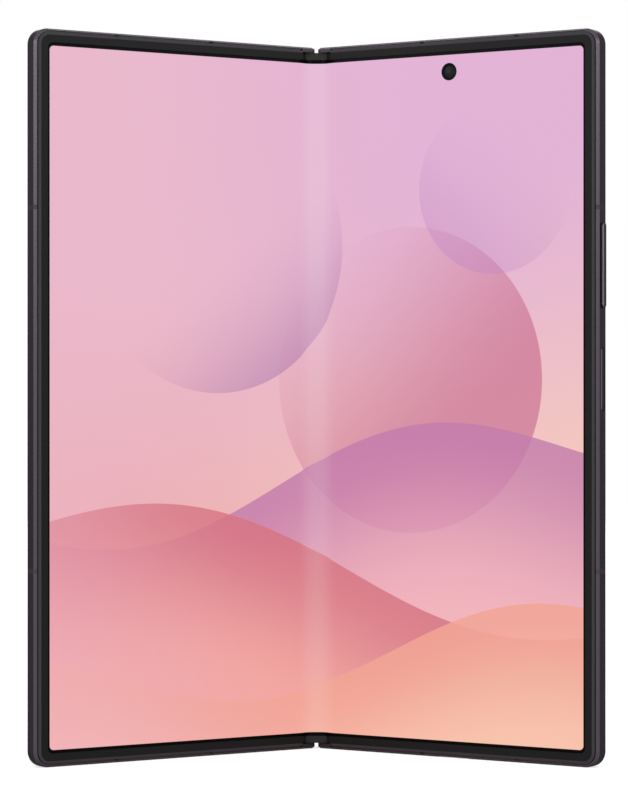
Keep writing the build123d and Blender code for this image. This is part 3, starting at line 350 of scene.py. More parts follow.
# Round shapes: middle across and up, radius, colour, then the way, the reach and the
# strength of their shade. All lengths of the picture are millimetres from its middle.
DISCS = (
    ((-26, 34), 33, (158, 104, 172), (0.6, -0.8), (-40, 18), 0.95),
    ((24, 4), 34, (205, 118, 150), (0.7, -0.7), (-24, 34), 0.8),
    ((46, 46), 19, (190, 132, 196), (-0.5, -0.8), (-72, -28), 0.55),
)

# Hills: height, rise and length of the wave, its shift, the slope, the colours of crest
# and foot, and how far down the one fades into the other.
HILLS = (
    (-18, 9, 23, 0.4, 0.12, (196, 124, 172), (240, 176, 190), 44),
    (-37, 10, 27, 2.9, -0.1, (214, 116, 130), (242, 164, 154), 38),
    (-58, 8, 21, 5.3, 0.1, (241, 164, 148), (250, 202, 176), 34),
)
HILL_STRENGTH = 0.86
PICTURE_LINE = 0.12


def away_in_picture(graph, place, x, z):
    """How far a point of the display is from x, z."""
    across = graph.math("SUBTRACT", place["Across"], x * MM)
    return graph.length(across, graph.math("SUBTRACT", place["Up"], z * MM))


def along_picture(graph, place, way, reach):
    """How far a point lies along a direction: 0 where the reach starts, 1 where it ends."""
    across = graph.math("MULTIPLY", place["Across"], way[0])
    way_along = graph.math("ADD", across, graph.math("MULTIPLY", place["Up"], way[1]))
    start, end = reach
    return graph.span(way_along, start * MM, end * MM)


def picture_sky(graph, place):
    """Four soft colours, one towards each corner."""
    pink, lilac = linear(233, 184, 202), linear(226, 178, 213)
    coral, peach = linear(238, 168, 164), linear(250, 206, 180)
    high = graph.mix(along_picture(graph, place, (1, 0.3), (-50, 60)), pink, lilac)
    low = graph.mix(along_picture(graph, place, (1, 0), (-60, 50)), coral, peach)
    return graph.mix(along_picture(graph, place, (-0.25, 1), (-70, 45)), low, high)


def with_disc(graph, place, color, middle, radius, tint, way, reach, strength):
    """Lays a round shape over the picture, shaded along its way."""
    away = away_in_picture(graph, place, *middle)
    inside = graph.span(away, radius * MM, (radius - PICTURE_LINE) * MM)
    shade = graph.math("MULTIPLY", along_picture(graph, place, way, reach), strength)
    return graph.mix(graph.math("MULTIPLY", inside, shade), color, linear(*tint))


def with_hill(graph, place, color, base, rise, length, shift, slope, crest, foot, fade):
    """Lays a hill over the picture, below a tilted wave."""
    turn = graph.math("MULTIPLY_ADD", place["Across"], 1 / (length * MM), shift)
    tilt = graph.math("MULTIPLY_ADD", place["Across"], slope, base * MM)
    height = graph.math("MULTIPLY_ADD", graph.math("SINE", turn), rise * MM, tilt)
    below = graph.math("SUBTRACT", height, place["Up"])
    inside = graph.span(below, 0.0, PICTURE_LINE * MM)
    body = graph.mix(graph.span(below, 0.0, fade * MM), linear(*crest), linear(*foot))
    return graph.mix(graph.math("MULTIPLY", inside, HILL_STRENGTH), color, body)


def picture_extent(graph, place):
    """1 where the display is lit: inside its round corners and outside the camera's window."""
    def past(value, half):
        over = graph.math("SUBTRACT", graph.math("ABSOLUTE", value), half - PICTURE_CORNER)
        return graph.math("MAXIMUM", over, 0.0)

    wide = past(place["Across"], PICTURE_HALF_WIDTH)
    edge = graph.length(wide, past(place["Up"], PICTURE_HALF_HEIGHT))
    line = 2 * SOFT_LINE
    inside = graph.span(edge, PICTURE_CORNER + line, PICTURE_CORNER - line)
    camera = (INNER_CAMERA[0] / MM, (INNER_CAMERA[1] - HALF_HEIGHT) / MM)
    away = away_in_picture(graph, place, *camera)
    clear = graph.span(away, INNER_CAMERA_WINDOW - SOFT_LINE, INNER_CAMERA_WINDOW + line)
    return graph.math("MULTIPLY", inside, clear)


def picture_group():
    """The picture on the inner display: a soft sky, three round shapes and low hills.

    Across and Up are metres on the flat display, from its middle."""
    graph, place, leave = new_group(
        "display_picture",
        {"Across": 0.0, "Up": 0.0},
        {"Color": tuple, "Picture": float},
    )
    color = picture_sky(graph, place)
    for disc in DISCS:
        color = with_disc(graph, place, color, *disc)
    for hill in HILLS:
        color = with_hill(graph, place, color, *hill)
    rosy = graph.math("MULTIPLY", along_picture(graph, place, (-1, -0.6), (35, 115)), 0.6)
    graph.put(graph.mix(rosy, color, linear(238, 178, 194)), leave["Color"])
    graph.put(picture_extent(graph, place), leave["Picture"])
    return graph.tree


def flat_place_group():
    """Where a point at rest lies on its flat half: out from the fold, back and up."""
    graph, entry, leave = new_group(
        "flat_place",
        {"Vector": Vector((0, 0, 0))},
        {"Out": float, "Back": float, "Up": float},
    )
    place = graph.node("ShaderNodeSeparateXYZ", {"Vector": entry["Vector"]}).outputs
    across = graph.math("SUBTRACT", graph.math("ABSOLUTE", place["X"]), AXIS_OUT)
    back = graph.math("SUBTRACT", place["Y"], AXIS_DEPTH + STAND_SHIFT)
    cosine, sine = math.cos(REST_TILT), math.sin(REST_TILT)
    for label, by_across, by_back, start in (
        ("Out", cosine, -sine, AXIS_OUT),
        ("Back", sine, cosine, AXIS_DEPTH),
    ):
        from_back = graph.math("MULTIPLY_ADD", back, by_back, start)
        graph.put(graph.math("MULTIPLY_ADD", across, by_across, from_back), leave[label])
    graph.put(place["Z"], leave["Up"])
    return graph.tree


def outline_inset_group():
    """How far a point lies inside the outline of its flat half, whose corners are round."""
    graph, entry, leave = new_group(
        "outline_inset",
        {"Vector": Vector((0, 0, 0))},
        {"Inset": float},
    )
    place = on_group(graph, FLAT_PLACE, entry["Vector"])
    side = graph.math("SUBTRACT", place["Out"], HALF_WIDTH - CORNER_RADIUS)
    from_middle = graph.math("ABSOLUTE", graph.math("SUBTRACT", place["Up"], HALF_HEIGHT))
    end = graph.math("SUBTRACT", from_middle, HALF_HEIGHT - CORNER_RADIUS)
    straight = graph.math("MINIMUM", graph.math("MAXIMUM", side, end), 0.0)
    rounded = graph.length(*[graph.math("MAXIMUM", value, 0.0) for value in (side, end)])
    beyond = graph.math("ADD", rounded, straight)
    graph.put(graph.math("SUBTRACT", CORNER_RADIUS, beyond), leave["Inset"])
    return graph.tree


GRAIN = fine_grain_group()
BRUSHED = brushed_group()
PICTURE = picture_group()
FLAT_PLACE = flat_place_group()
INSET = outline_inset_group()


# ---- materials -------------------------------------------------------------------
def new_material(name, **sockets):
    """A material with its shader; the sockets are values that hold all over."""
    material = bpy.data.materials.new(name)
    material.use_nodes = True
    graph = Graph(material.node_tree)
    shader = material.node_tree.nodes["Principled BSDF"]
    for label, value in sockets.items():
        shader.inputs[label.replace("_", " ")].default_value = value
    return material, graph, shader


def add_bump(graph, shader, height, depth, strength):
    inputs = {"Height": height, "Distance": depth, "Strength": strength}
    graph.put(graph.node("ShaderNodeBump", inputs).outputs[0], shader.inputs["Normal"])


def finish_from(tree, name, values, bump, sockets):
    """A material whose colour, gloss and relief come from a group with the values given."""
    material, graph, shader = new_material(name, **sockets)
    here = graph.place()
    group = graph.node("ShaderNodeGroup", {"Vector": here, **values}, node_tree=tree)
    graph.put(group.outputs["Color"], shader.inputs["Base Color"])
    graph.put(group.outputs["Roughness"], shader.inputs["Roughness"])
    add_bump(graph, shader, group.outputs["Height"], 0.01 * MM, bump)
    return material


def grained(name, color, rough, spread=0.1, color_spread=0.1, grain=6000.0, bump=0.15, **sockets):
    """A moulded, blasted or coated finish."""
    values = {
        "Color": color,
        "Grain Scale": grain,
        "Color Spread": color_spread,
        "Roughness": rough,
        "Roughness Spread": spread,
    }
    return finish_from(GRAIN, name, values, bump, sockets)


def brushed(name, color, rough, marks=5000.0):
    """A drawn or ground metal finish."""
    values = {
        "Color": color,
        "Mark Scale": marks,
        "Color Spread": 0.15,
        "Roughness": rough,
        "Roughness Spread": 0.15,
    }
    return finish_from(BRUSHED, name, values, 0.1, {"Metallic": 1.0})


def with_painted_highlight(material, highlight_color, mask_of):
    """Paints a highlight on a finish: a paler second colour where the mask is 1."""
    graph = Graph(material.node_tree)
    shader = material.node_tree.nodes["Principled BSDF"]
    here = graph.place()
    plain = shader.inputs["Base Color"].links[0].from_socket
    color = graph.mix(mask_of(graph, here), plain, highlight_color)
    graph.put(color, shader.inputs["Base Color"])
    return material


def chamfer_highlight(limit):
    """Where the front chamfer's highlight is painted: the part of a half that lies before a depth, near its
    outline.
    """
    far, near = EDGE_BLUR

    def mask(graph, here):
        back = on_group(graph, FLAT_PLACE, here)["Back"]
        inset = on_group(graph, INSET, here)["Inset"]
        ahead = graph.span(back, limit + far, limit - near)
        outside = graph.span(inset, FRAME_LIP + far, FRAME_LIP + near)
        return graph.math("MULTIPLY", ahead, outside)

    return mask


def rim_bevel_highlight(graph, here):
    """Where the rim's highlight is painted: the bevel that runs round it, outside its flat face."""
    inset = on_group(graph, INSET, here)["Inset"]
    return graph.span(inset, RIM_BEVEL_INSET + SOFT_LINE, RIM_BEVEL_INSET)


def display_screen(name, on_strip):
    """The lit display, with a painted highlight along the crease. A panel's own place gives the picture's, a bent
    strip has its map.
    """
    material, graph, shader = new_material(name, Specular_IOR_Level=0.03, Emission_Strength=1.0)
    coords = graph.node("ShaderNodeTexCoord").outputs
    source = coords["UV" if on_strip else "Object"]
    split = graph.node("ShaderNodeSeparateXYZ", {"Vector": source}).outputs
    if on_strip:
        across = split["X"]
        up = graph.math("SUBTRACT", split["Y"], HALF_HEIGHT)
    else:
        place = on_group(graph, FLAT_PLACE, coords["Object"])
        across = graph.math("MULTIPLY", place["Out"], graph.math("SIGN", split["X"]))
        up = graph.math("SUBTRACT", split["Z"], HALF_HEIGHT)
    picture = graph.node("ShaderNodeGroup", {"Across": across, "Up": up}, node_tree=PICTURE)
    # Painted highlight: the picture is whitened in a soft band along the crease, a little more towards the top.
    off_crease = graph.math("ABSOLUTE", graph.math("SUBTRACT", across, CREASE_MIDDLE))
    peak = graph.span(up, -HALF_HEIGHT, HALF_HEIGHT, CREASE_HIGHLIGHT_LOW, CREASE_HIGHLIGHT_HIGH, False)
    crease_highlight = graph.span(off_crease, CREASE_REACH, 0.0, 0.0, peak)
    highlighted = graph.mix(crease_highlight, picture.outputs["Color"], WHITE)
    lit = graph.mix(picture.outputs["Picture"], BLACK, highlighted)
    graph.put(lit, shader.inputs["Emission Color"])
    smudge = graph.noise(coords["Object"], 45.0, 3.0)
    graph.put(graph.span(smudge, 0.3, 0.7, 0.1, 0.2), shader.inputs["Roughness"])
    dark = graph.mix(smudge, (0.001, 0.001, 0.001, 1.0), (0.003, 0.003, 0.003, 1.0))
    graph.put(dark, shader.inputs["Base Color"])
    return material


def circuit_board(name):
    """Solder mask with lines of copper under it."""
    material, graph, shader = new_material(name, Specular_IOR_Level=0.4)
    here = graph.place()
    inputs = {"Vector": here, "Scale": 700.0, "Randomness": 0.35}
    kinds = {"feature": "DISTANCE_TO_EDGE", "distance": "CHEBYCHEV"}
    cells = graph.node("ShaderNodeTexVoronoi", inputs, **kinds)
    lines = graph.span(cells.outputs["Distance"], 0.04, 0.1, 1.0, 0.0)
    color = graph.mix(lines, linear(14, 40, 36), linear(40, 84, 62))
    graph.put(color, shader.inputs["Base Color"])
    graph.put(graph.clouds(here, 90.0, 0.25, 0.4), shader.inputs["Roughness"])
    add_bump(graph, shader, lines, 0.02 * MM, 0.4)
    return material


def coil_copper(name):
    """Flat copper wire wound in rings about the coil's middle."""
    low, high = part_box("charging_coil")
    middle = (low + high) / 2
    material, graph, shader = new_material(name, Metallic=1.0)
    here = graph.place()
    away = graph.node("ShaderNodeVectorMath", operation="DISTANCE")
    graph.put(here, away.inputs[0])
    graph.put(middle, away.inputs[1])
    raised = graph.span(graph.ripple(away.outputs["Value"], COIL_PITCH), -0.8, 0.2)
    color = graph.mix(raised, linear(92, 46, 24), linear(206, 128, 84))
    graph.put(color, shader.inputs["Base Color"])
    graph.put(graph.clouds(here, 300.0, 0.3, 0.45), shader.inputs["Roughness"])
    add_bump(graph, shader, raised, 0.05 * MM, 0.6)
    return material


def battery_pouch(name):
    """Foil pouch under dark wrapping film, with slow dents."""
    material, graph, shader = new_material(name, Specular_IOR_Level=0.4)
    here = graph.place()
    dents = graph.noise(here, 110.0, 4.0, 0.6)
    color = graph.mix(dents, linear(30, 30, 33), linear(46, 46, 50))
    graph.put(color, shader.inputs["Base Color"])
    graph.put(graph.span(dents, 0.3, 0.7, 0.3, 0.5), shader.inputs["Roughness"])
    add_bump(graph, shader, dents, 0.2 * MM, 0.3)
    return material


def patterned(name, color, rough, height, depth, strength, **sockets):
    """A finish whose colour, gloss and relief come from functions of the graph and the place."""
    material, graph, shader = new_material(name, **sockets)
    here = graph.place()
    graph.put(color(graph, here), shader.inputs["Base Color"])
    graph.put(rough(graph, here), shader.inputs["Roughness"])
    add_bump(graph, shader, height(graph, here), depth, strength)
    return material


def cloud_between(scale, low, high):
    """A pattern for a finish: slow clouds between two values."""
    return lambda graph, here: graph.clouds(here, scale, low, high, 3.0)


def noise_of(scale, detail):
    """A pattern for a finish: plain noise."""
    return lambda graph, here: graph.noise(here, scale, detail)


def away_on_half(graph, here, out, up):
    """How far a point lies from a place on the flat half."""
    place = on_group(graph, FLAT_PLACE, here)
    across = graph.math("SUBTRACT", place["Out"], out)
    return graph.length(across, graph.math("SUBTRACT", place["Up"], up))


def cover_glass(name):
    """Black glass, with the small camera that shows through it and a barely paler screen."""
    def color(graph, here):
        away = away_on_half(graph, here, *COVER_CAMERA)
        deep = graph.span(away, COVER_PUPIL, COVER_IRIS)
        lens = graph.mix(deep, linear(28, 30, 44), linear(8, 9, 12))
        inset = on_group(graph, INSET, here)["Inset"]
        on_screen = graph.span(inset, COVER_SCREEN_INSET, COVER_SCREEN_INSET + 0.1 * MM)
        screen = graph.mix(on_screen, linear(6, 6, 7), linear(11, 11, 13))
        past_collar = graph.span(away, COVER_COLLAR, COVER_COLLAR + 0.05 * MM)
        around = graph.mix(past_collar, linear(2, 2, 3), screen)
        return graph.mix(graph.span(away, COVER_LENS, COVER_LENS + 0.05 * MM), lens, around)

    smears = noise_of(40.0, 3.0)
    return patterned(name, color, cloud_between(55.0, 0.04, 0.1), smears, 0.01 * MM, 0.02)


def flash_lens(name):
    """A yellow plate under a clear lens with fine rings."""
    def rings(graph, here):
        return graph.ripple(away_on_half(graph, here, *FLASH), FLASH_RING_PITCH)

    def color(graph, here):
        away = away_on_half(graph, here, *FLASH)
        rim = graph.span(away, FLASH_PLATE, FLASH_PLATE + 0.15 * MM)
        plate = graph.mix(rim, linear(236, 206, 96), linear(232, 230, 222))
        groove = graph.span(rings(graph, here), -1.0, -0.2, 0.35, 0.0)
        return graph.mix(groove, plate, linear(150, 142, 120))

    return patterned(name, color, cloud_between(400.0, 0.12, 0.25), rings, 0.02 * MM, 0.6)


def sound_mesh(name):
    """Fine woven mesh behind the sound slots."""
    def weave(graph, here):
        place = on_group(graph, FLAT_PLACE, here)
        waves = [graph.ripple(place[way], WEAVE_PITCH) for way in ("Out", "Back")]
        return graph.math("MULTIPLY", *waves)

    def color(graph, here):
        wire = graph.span(weave(graph, here), -0.2, 0.3)
        return graph.mix(wire, linear(16, 15, 17), linear(60, 58, 61))

    return patterned(name, color, cloud_between(900.0, 0.45, 0.6), weave, 0.03 * MM, 0.6)


def gear_steel(name):
    """Ground steel with a film of grease that darkens it in patches."""
    def color(graph, here):
        marks = graph.noise(graph.stretched(here, (1.0, 1.0, 0.05)), 4000.0, 3.0)
        metal = graph.mix(marks, linear(128, 126, 124), linear(168, 166, 164))
        grease = graph.span(graph.noise(here, 700.0, 3.0), 0.5, 0.7, 0.0, 0.5)
        return graph.mix(grease, metal, linear(92, 86, 74))

    rough = cloud_between(600.0, 0.18, 0.36)
    marks = noise_of(5000.0, 2.0)
    return patterned(name, color, rough, marks, 0.01 * MM, 0.1, Metallic=1.0)


def coated_element(name, middle, tints, reach, shine):
    """Coated glass over an aperture, its tint changing from the middle out."""
    pupil, inner, outer = tints
    material, graph, shader = new_material(name, Specular_IOR_Level=shine)
    here = graph.place()
    away = away_on_half(graph, here, *middle)
    tint = graph.mix(graph.span(away, 0.25 * reach, 0.45 * reach), pupil, inner)
    color = graph.mix(graph.span(away, 0.6 * reach, reach), tint, outer)
    graph.put(color, shader.inputs["Base Color"])
    graph.put(graph.clouds(here, 200.0, 0.05, 0.1), shader.inputs["Roughness"])
    return material


def lens_window(name):
    """Clear coated glass over a camera."""
    clear = {"Transmission_Weight": 1.0, "IOR": 1.45, "Specular_IOR_Level": 0.15}
    material, graph, shader = new_material(name, **clear)
    here = graph.place()
    smears = graph.noise(here, 60.0, 3.0)
    tint = graph.mix(smears, (0.92, 0.95, 1.0, 1.0), WHITE)
    graph.put(tint, shader.inputs["Base Color"])
    graph.put(graph.span(smears, 0.35, 0.65, 0.0, 0.03), shader.inputs["Roughness"])
    return material


def frame_finish(name, color, edge, rough, limit):
    """Blasted dark metal, paler on the front chamfer: a painted highlight."""
    sockets = {"Metallic": 1.0, "Specular_Tint": (0.5, 0.5, 0.5, 1.0)}
    plain = grained(name, color, rough, 0.04, 0.06, grain=9000.0, bump=0.08, **sockets)
    return with_painted_highlight(plain, edge, chamfer_highlight(limit))


DARK_METAL = linear(57, 51, 58)
# Paler colours painted on the front chamfers of frame and key: painted highlights.
EDGE_HIGHLIGHT_METAL = linear(84, 77, 85)
KEY_EDGE_HIGHLIGHT = linear(104, 97, 106)

# Tints of coated glass: in the aperture, round it, and at the rim.
SMALL_ELEMENT_TINTS = (linear(40, 42, 40), linear(32, 36, 34), linear(30, 33, 36))
ELEMENT_TINTS = {
    "low": (linear(2, 2, 3), linear(20, 34, 46), linear(30, 22, 44)),
    "middle": (linear(2, 2, 3), linear(16, 40, 40), linear(20, 26, 56)),
    "high": (linear(2, 2, 3), linear(34, 24, 46), linear(18, 34, 40)),
}

MATERIALS = {
    "frame_metal": frame_finish("frame_metal", DARK_METAL, EDGE_HIGHLIGHT_METAL, 0.34, CHAMFER_BACK),
    # Antenna breaks: paler along the front chamfer, a painted highlight like the frame's.
    "antenna_plastic": with_painted_highlight(
        grained("antenna_plastic", linear(34, 30, 35), 0.5, 0.05, Specular_IOR_Level=0.1),
        linear(66, 61, 67),
        chamfer_highlight(CHAMFER_BACK),
    ),
    # Rim: dark moulding, paler on its outer bevel, a painted highlight.
    "rim_plastic": with_painted_highlight(
        grained("rim_plastic", linear(18, 19, 19), 0.42, 0.04, 0.06, Specular_IOR_Level=0.11),
        linear(58, 56, 59),
        rim_bevel_highlight,
    ),
    "support_metal": brushed("support_metal", linear(150, 150, 154), 0.3),
    "spine_metal": brushed("spine_metal", linear(52, 46, 53), 0.26, marks=3000.0),
    "cap_plastic": grained("cap_plastic", linear(38, 39, 37), 0.45, Specular_IOR_Level=0.15),
    "hinge_steel": brushed("hinge_steel", linear(120, 120, 124), 0.34),
    "gear_steel": gear_steel("gear_steel"),
    "battery_pouch": battery_pouch("battery_pouch"),
    "cover_screen": grained("cover_screen", linear(8, 8, 10), 0.12, 0.03, Specular_IOR_Level=0.4),
    "cover_glass": cover_glass("cover_glass"),
    "back_glass": grained(
        "back_glass", linear(52, 45, 53), 0.42, 0.06, 0.08, Specular_IOR_Level=0.3
    ),
    "camera_body": grained("camera_body", linear(8, 8, 9), 0.4, Specular_IOR_Level=0.06),
    "circuit_board": circuit_board("circuit_board"),
    "shield_steel": brushed("shield_steel", linear(168, 168, 170), 0.32),
    "motor_steel": brushed("motor_steel", linear(140, 140, 144), 0.36),
    "speaker_plastic": grained("speaker_plastic", linear(24, 24, 26), 0.5),
    "magnet_metal": grained("magnet_metal", linear(120, 120, 126), 0.35, Metallic=1.0),
    "island_metal": grained("island_metal", linear(50, 45, 52), 0.36, 0.05, Metallic=1.0),
    "ring_metal": brushed("ring_metal", linear(70, 63, 71), 0.2),
    "lens_glass": grained(
        "lens_glass", linear(6, 7, 12), 0.04, 0.02, bump=0.0, Specular_IOR_Level=0.7
    ),
    "flash_lens": flash_lens("flash_lens"),
    "coil_copper": coil_copper("coil_copper"),
    "port_steel": brushed("port_steel", linear(130, 128, 130), 0.3),
    "port_plastic": grained("port_plastic", linear(20, 20, 22), 0.5),
    "key_metal": frame_finish("key_metal", DARK_METAL, KEY_EDGE_HIGHLIGHT, 0.3, KEY_FRONT),
    "switch_plastic": grained("switch_plastic", linear(30, 30, 32), 0.45),
    "tray_metal": frame_finish("tray_metal", DARK_METAL, EDGE_HIGHLIGHT_METAL, 0.34, CHAMFER_BACK),
    "display_screen": display_screen("display_screen", False),
}


def dress_nodes():
    """Gives every solid the finish that its record names."""
    for part in frame["record"]["subparts"]:
        mesh = NODES[part["node"]].data
        mesh.materials.clear()
        mesh.materials.append(MATERIALS[part["material_slot"]])


# ---- the bending strip of the display --------------------------------------------
def smooth_step(value):
    """0 to 1, eased at both ends, as a blend's own share runs."""
    value = min(1.0, max(0.0, value))
    return value * value * (3 - 2 * value)


def strip_place(out, depth):
    """Where a point of the flat strip lies at rest.

    Each point turns by its own share of the tilt, and the share is the one that its own
    place gives it between the middle of the fold and the panel's edge."""
    start = Vector((0.0, DISPLAY_DEPTH + STAND_SHIFT))
    end = Vector(turned(FOLD_ZONE, DISPLAY_DEPTH, REST_TILT))
    way = end - start
    share = 0.5
    for _ in range(SETTLING_ROUNDS):
        place = Vector(turned(out, depth, REST_TILT * share))
        share = (share + smooth_step((place - start).dot(way) / way.length_squared)) / 2
    return turned(out, depth, REST_TILT * share)


def fold_strip(side, material):
    """One half of the bending strip, cut into bands and bent to its place at rest."""
    name = "display_fold_strip_" + ("right" if side > 0 else "left")
    low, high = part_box("display_fold_zone")
    bm = bmesh.new()
    bmesh.ops.create_cube(bm, size=1.0)
    size = (FOLD_ZONE, DISPLAY_BACK - DISPLAY_DEPTH, high.z - low.z)
    middle = (FOLD_ZONE / 2, (DISPLAY_DEPTH + DISPLAY_BACK) / 2, (low.z + high.z) / 2)
    bmesh.ops.scale(bm, verts=bm.verts, vec=size)
    bmesh.ops.translate(bm, verts=bm.verts, vec=middle)
    for step in range(1, FOLD_STEPS):
        everything = bm.verts[:] + bm.edges[:] + bm.faces[:]
        cut = (FOLD_ZONE * step / FOLD_STEPS, 0, 0)
        bmesh.ops.bisect_plane(bm, geom=everything, plane_co=cut, plane_no=(1, 0, 0))
    uv = bm.loops.layers.uv.new("UVMap")
    for face in bm.faces:
        for loop in face.loops:
            loop[uv].uv = (side * loop.vert.co.x, loop.vert.co.z)
    for vert in bm.verts:
        x, y = strip_place(vert.co.x, vert.co.y)
        vert.co = Vector((side * x, y, vert.co.z))
    piece = keep_piece(name, bm, material, replaced=["display_fold_zone"])
    for polygon in piece.data.polygons:
        polygon.use_smooth = abs(polygon.normal.z) < 0.5 and abs(polygon.normal.y) > 0.4
    x, y = turned(FOLD_ZONE, DISPLAY_DEPTH, REST_TILT)
    if side > 0:
        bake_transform(piece)
    else:
        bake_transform(piece)
    return piece


# ---- cameras, sound meshes and contacts ------------------------------------------
def rear_camera(which, up, element):
    """A stepped black barrel, a domed glass element and a clear window flush with its ring."""
    seat = facing(LENS_OUT, LENS_BACK, up, True)
    name = "rear_camera_" + which
    foot = (LENS_FOOT - LENS_BACK) / MM
    # Foot and body, the flange under the ring, the window's seat, then the steps to the glass.
    steps = [
        (0.0, foot), (4.7, foot), (4.8, foot + 0.1), (4.8, -0.4), (5.45, -0.4), (5.55, -0.3),
        (5.55, -0.06), (5.49, 0.0), (3.72, 0.0), (3.7, -0.02), (3.7, -0.42), (3.45, -0.42),
        (3.35, -0.52), (3.35, -0.78), (2.95, -0.78), (2.85, -0.88), (2.8, -1.15), (2.4, -1.3),
        (2.35, -1.75), (0.0, -1.75),
    ]
    dome = [
        (0.0, -1.02), (0.5, -1.035), (1.0, -1.08), (1.5, -1.16), (1.95, -1.28), (2.3, -1.42),
        (2.34, -1.46), (2.34, -1.7), (0.0, -1.7),
    ]
    pane = [(0.0, -0.02), (3.6, -0.02), (3.67, -0.09), (3.67, -0.32), (3.6, -0.39), (0.0, -0.39)]
    replaced = ["camera_lenses", "camera_modules"]
    for ending, shape, material, slot in (
        ("_barrel", steps, MATERIALS["camera_body"], "camera_body"),
        ("_element", dome, element, "lens_glass"),
        ("_window", pane, WINDOW, "lens_glass"),
    ):
        keep_piece(name + ending, lathe(shape, seat), material, "right_half", replaced)


def inner_camera():
    """A black collar with a shallow cone and a domed element, level with the display."""
    seat = facing(INNER_CAMERA[0], DISPLAY_DEPTH, INNER_CAMERA[1], False)
    # Foot and wall, the flat ring level with the display, then the cone down to the glass.
    collar = [
        (0.0, -1.2), (1.85, -1.2), (1.85, -0.03), (1.82, 0.0), (1.58, 0.0), (1.52, -0.03),
        (1.42, -0.16), (1.4, -0.3), (0.0, -0.3),
    ]
    dome = [
        (0.0, -0.04), (0.45, -0.05), (0.85, -0.08), (1.15, -0.12), (1.38, -0.18), (1.39, -0.27),
        (0.0, -0.27),
    ]
    for name, shape, material in (
        ("inner_camera_collar", collar, MATERIALS["camera_body"]),
        ("inner_camera_element", dome, SMALL_ELEMENT),
    ):
        bm = lathe(shape, seat)
        keep_piece(name, bm, material, "right_half", ["inner_camera"])


def plate_with_round_ends(length, width, height):
    """A thin plate; its bevel stays just under half the width, so the ends stay closed."""
    bm = bmesh.new()
    bmesh.ops.create_cube(bm, size=1.0)
    bmesh.ops.scale(bm, verts=bm.verts, vec=(length, width, height))

    def is_upright(edge):
        first, last = edge.verts
        return abs(first.co.z - last.co.z) > height / 2

    upright = [edge for edge in bm.edges if is_upright(edge)]
    settings = {"affect": "EDGES", "segments": ROUND_END_STEPS, "profile": 0.5, "material": -1}
    bmesh.ops.bevel(bm, geom=upright, offset=width * 0.499, clamp_overlap=True, **settings)
    return bm


def gather(whole, bm):
    """Adds a shape to a larger one."""
    mesh = bpy.data.meshes.new("gathered")
    bm.to_mesh(mesh)
    bm.free()
    whole.from_mesh(mesh)
    bpy.data.meshes.remove(mesh)


def sound_meshes(side, middle, up):
    """One small woven plate in each of a row of sound slots."""
    whole = bmesh.new()
    for place in range(SOUND_COUNT):
        out = middle + (place - (SOUND_COUNT - 1) / 2) * SOUND_PITCH
        bm = plate_with_round_ends(*SOUND_MESH)
        seat = half_matrix(side) @ Matrix.Translation((out, SOUND_DEPTH, up))
        bmesh.ops.transform(bm, matrix=seat, verts=bm.verts)
        gather(whole, bm)
    return whole


def port_contacts():
    """Gold contacts on both faces of the connector's tongue."""
    whole = bmesh.new()
    quarter = math.radians(90)
    upright = Matrix.Rotation(quarter, 4, "X") @ Matrix.Rotation(quarter, 4, "Z")
    for face in (-1, 1):
        for place in range(CONTACT_COUNT):
            out = PORT_OUT + (place - (CONTACT_COUNT - 1) / 2) * CONTACT_PITCH
            bm = plate_with_round_ends(*CONTACT)
            place_on = Matrix.Translation((out, PORT_BACK + face * TONGUE_HALF, CONTACT_UP))
            seat = half_matrix(1) @ place_on @ upright
            bmesh.ops.transform(bm, matrix=seat, verts=bm.verts)
            gather(whole, bm)
    keep_piece("port_contacts", whole, CONTACT_GOLD, "right_half")


# ---- floor, light and camera -----------------------------------------------------
WORLD_LIGHT = 0.5
FLOOR_HALF = 4.0
FLOOR_TONES = ((0.78, 0.78, 0.78, 1.0), (0.82, 0.82, 0.82, 1.0))
FLOOR_GLOW = 0.6
FLOOR_MIRRORED = 0.2
SENSOR_HEIGHT = 36.0
LENS_LENGTH = 138.8
CAMERA_PLACE = (-0.00054, -0.6796, 0.07874)
LAMPS = (
    ("left_box", (-0.55, -0.95, 0.35), (0, 0, 0.08), (0.4, 0.7), 2.8),
    ("right_box", (0.5, -0.95, 0.3), (0, 0, 0.08), (0.4, 0.7), 2.4),
    ("top_box", (0.0, -0.2, 0.9), (0, 0, 0.08), (0.8, 0.8), 2.0),
    ("back_box", (0.1, 1.2, 0.5), (0, 0, 0.08), (0.8, 0.6), 3.0),
    ("left_strip", (-0.85, -0.33, 0.36), (-0.06, 0, 0.13), (0.35, 0.3), 1.0),
    ("right_strip", (0.85, -0.33, 0.4), (0.06, 0, 0.15), (0.35, 0.3), 1.0),
)


def white_to_view(graph, mirrored=1.0):
    """1 to the camera, as much as given to mirror and glass rays, and 0 to the rest."""
    path = graph.node("ShaderNodeLightPath").outputs
    others = graph.math("MAXIMUM", path["Is Glossy Ray"], path["Is Transmission Ray"])
    return graph.math("MAXIMUM", path["Is Camera Ray"], graph.math("MULTIPLY", others, mirrored))


def light_world():
    """White where it is seen, and a softer light on the pieces."""
    world = bpy.data.worlds.new("studio")
    bpy.context.scene.world = world
    world.use_nodes = True
    graph = Graph(world.node_tree)
    background = world.node_tree.nodes["Background"]
    background.inputs["Color"].default_value = WHITE
    strength = graph.span(white_to_view(graph), 0.0, 1.0, WORLD_LIGHT, 1.0, False)
    graph.put(strength, background.inputs["Strength"])


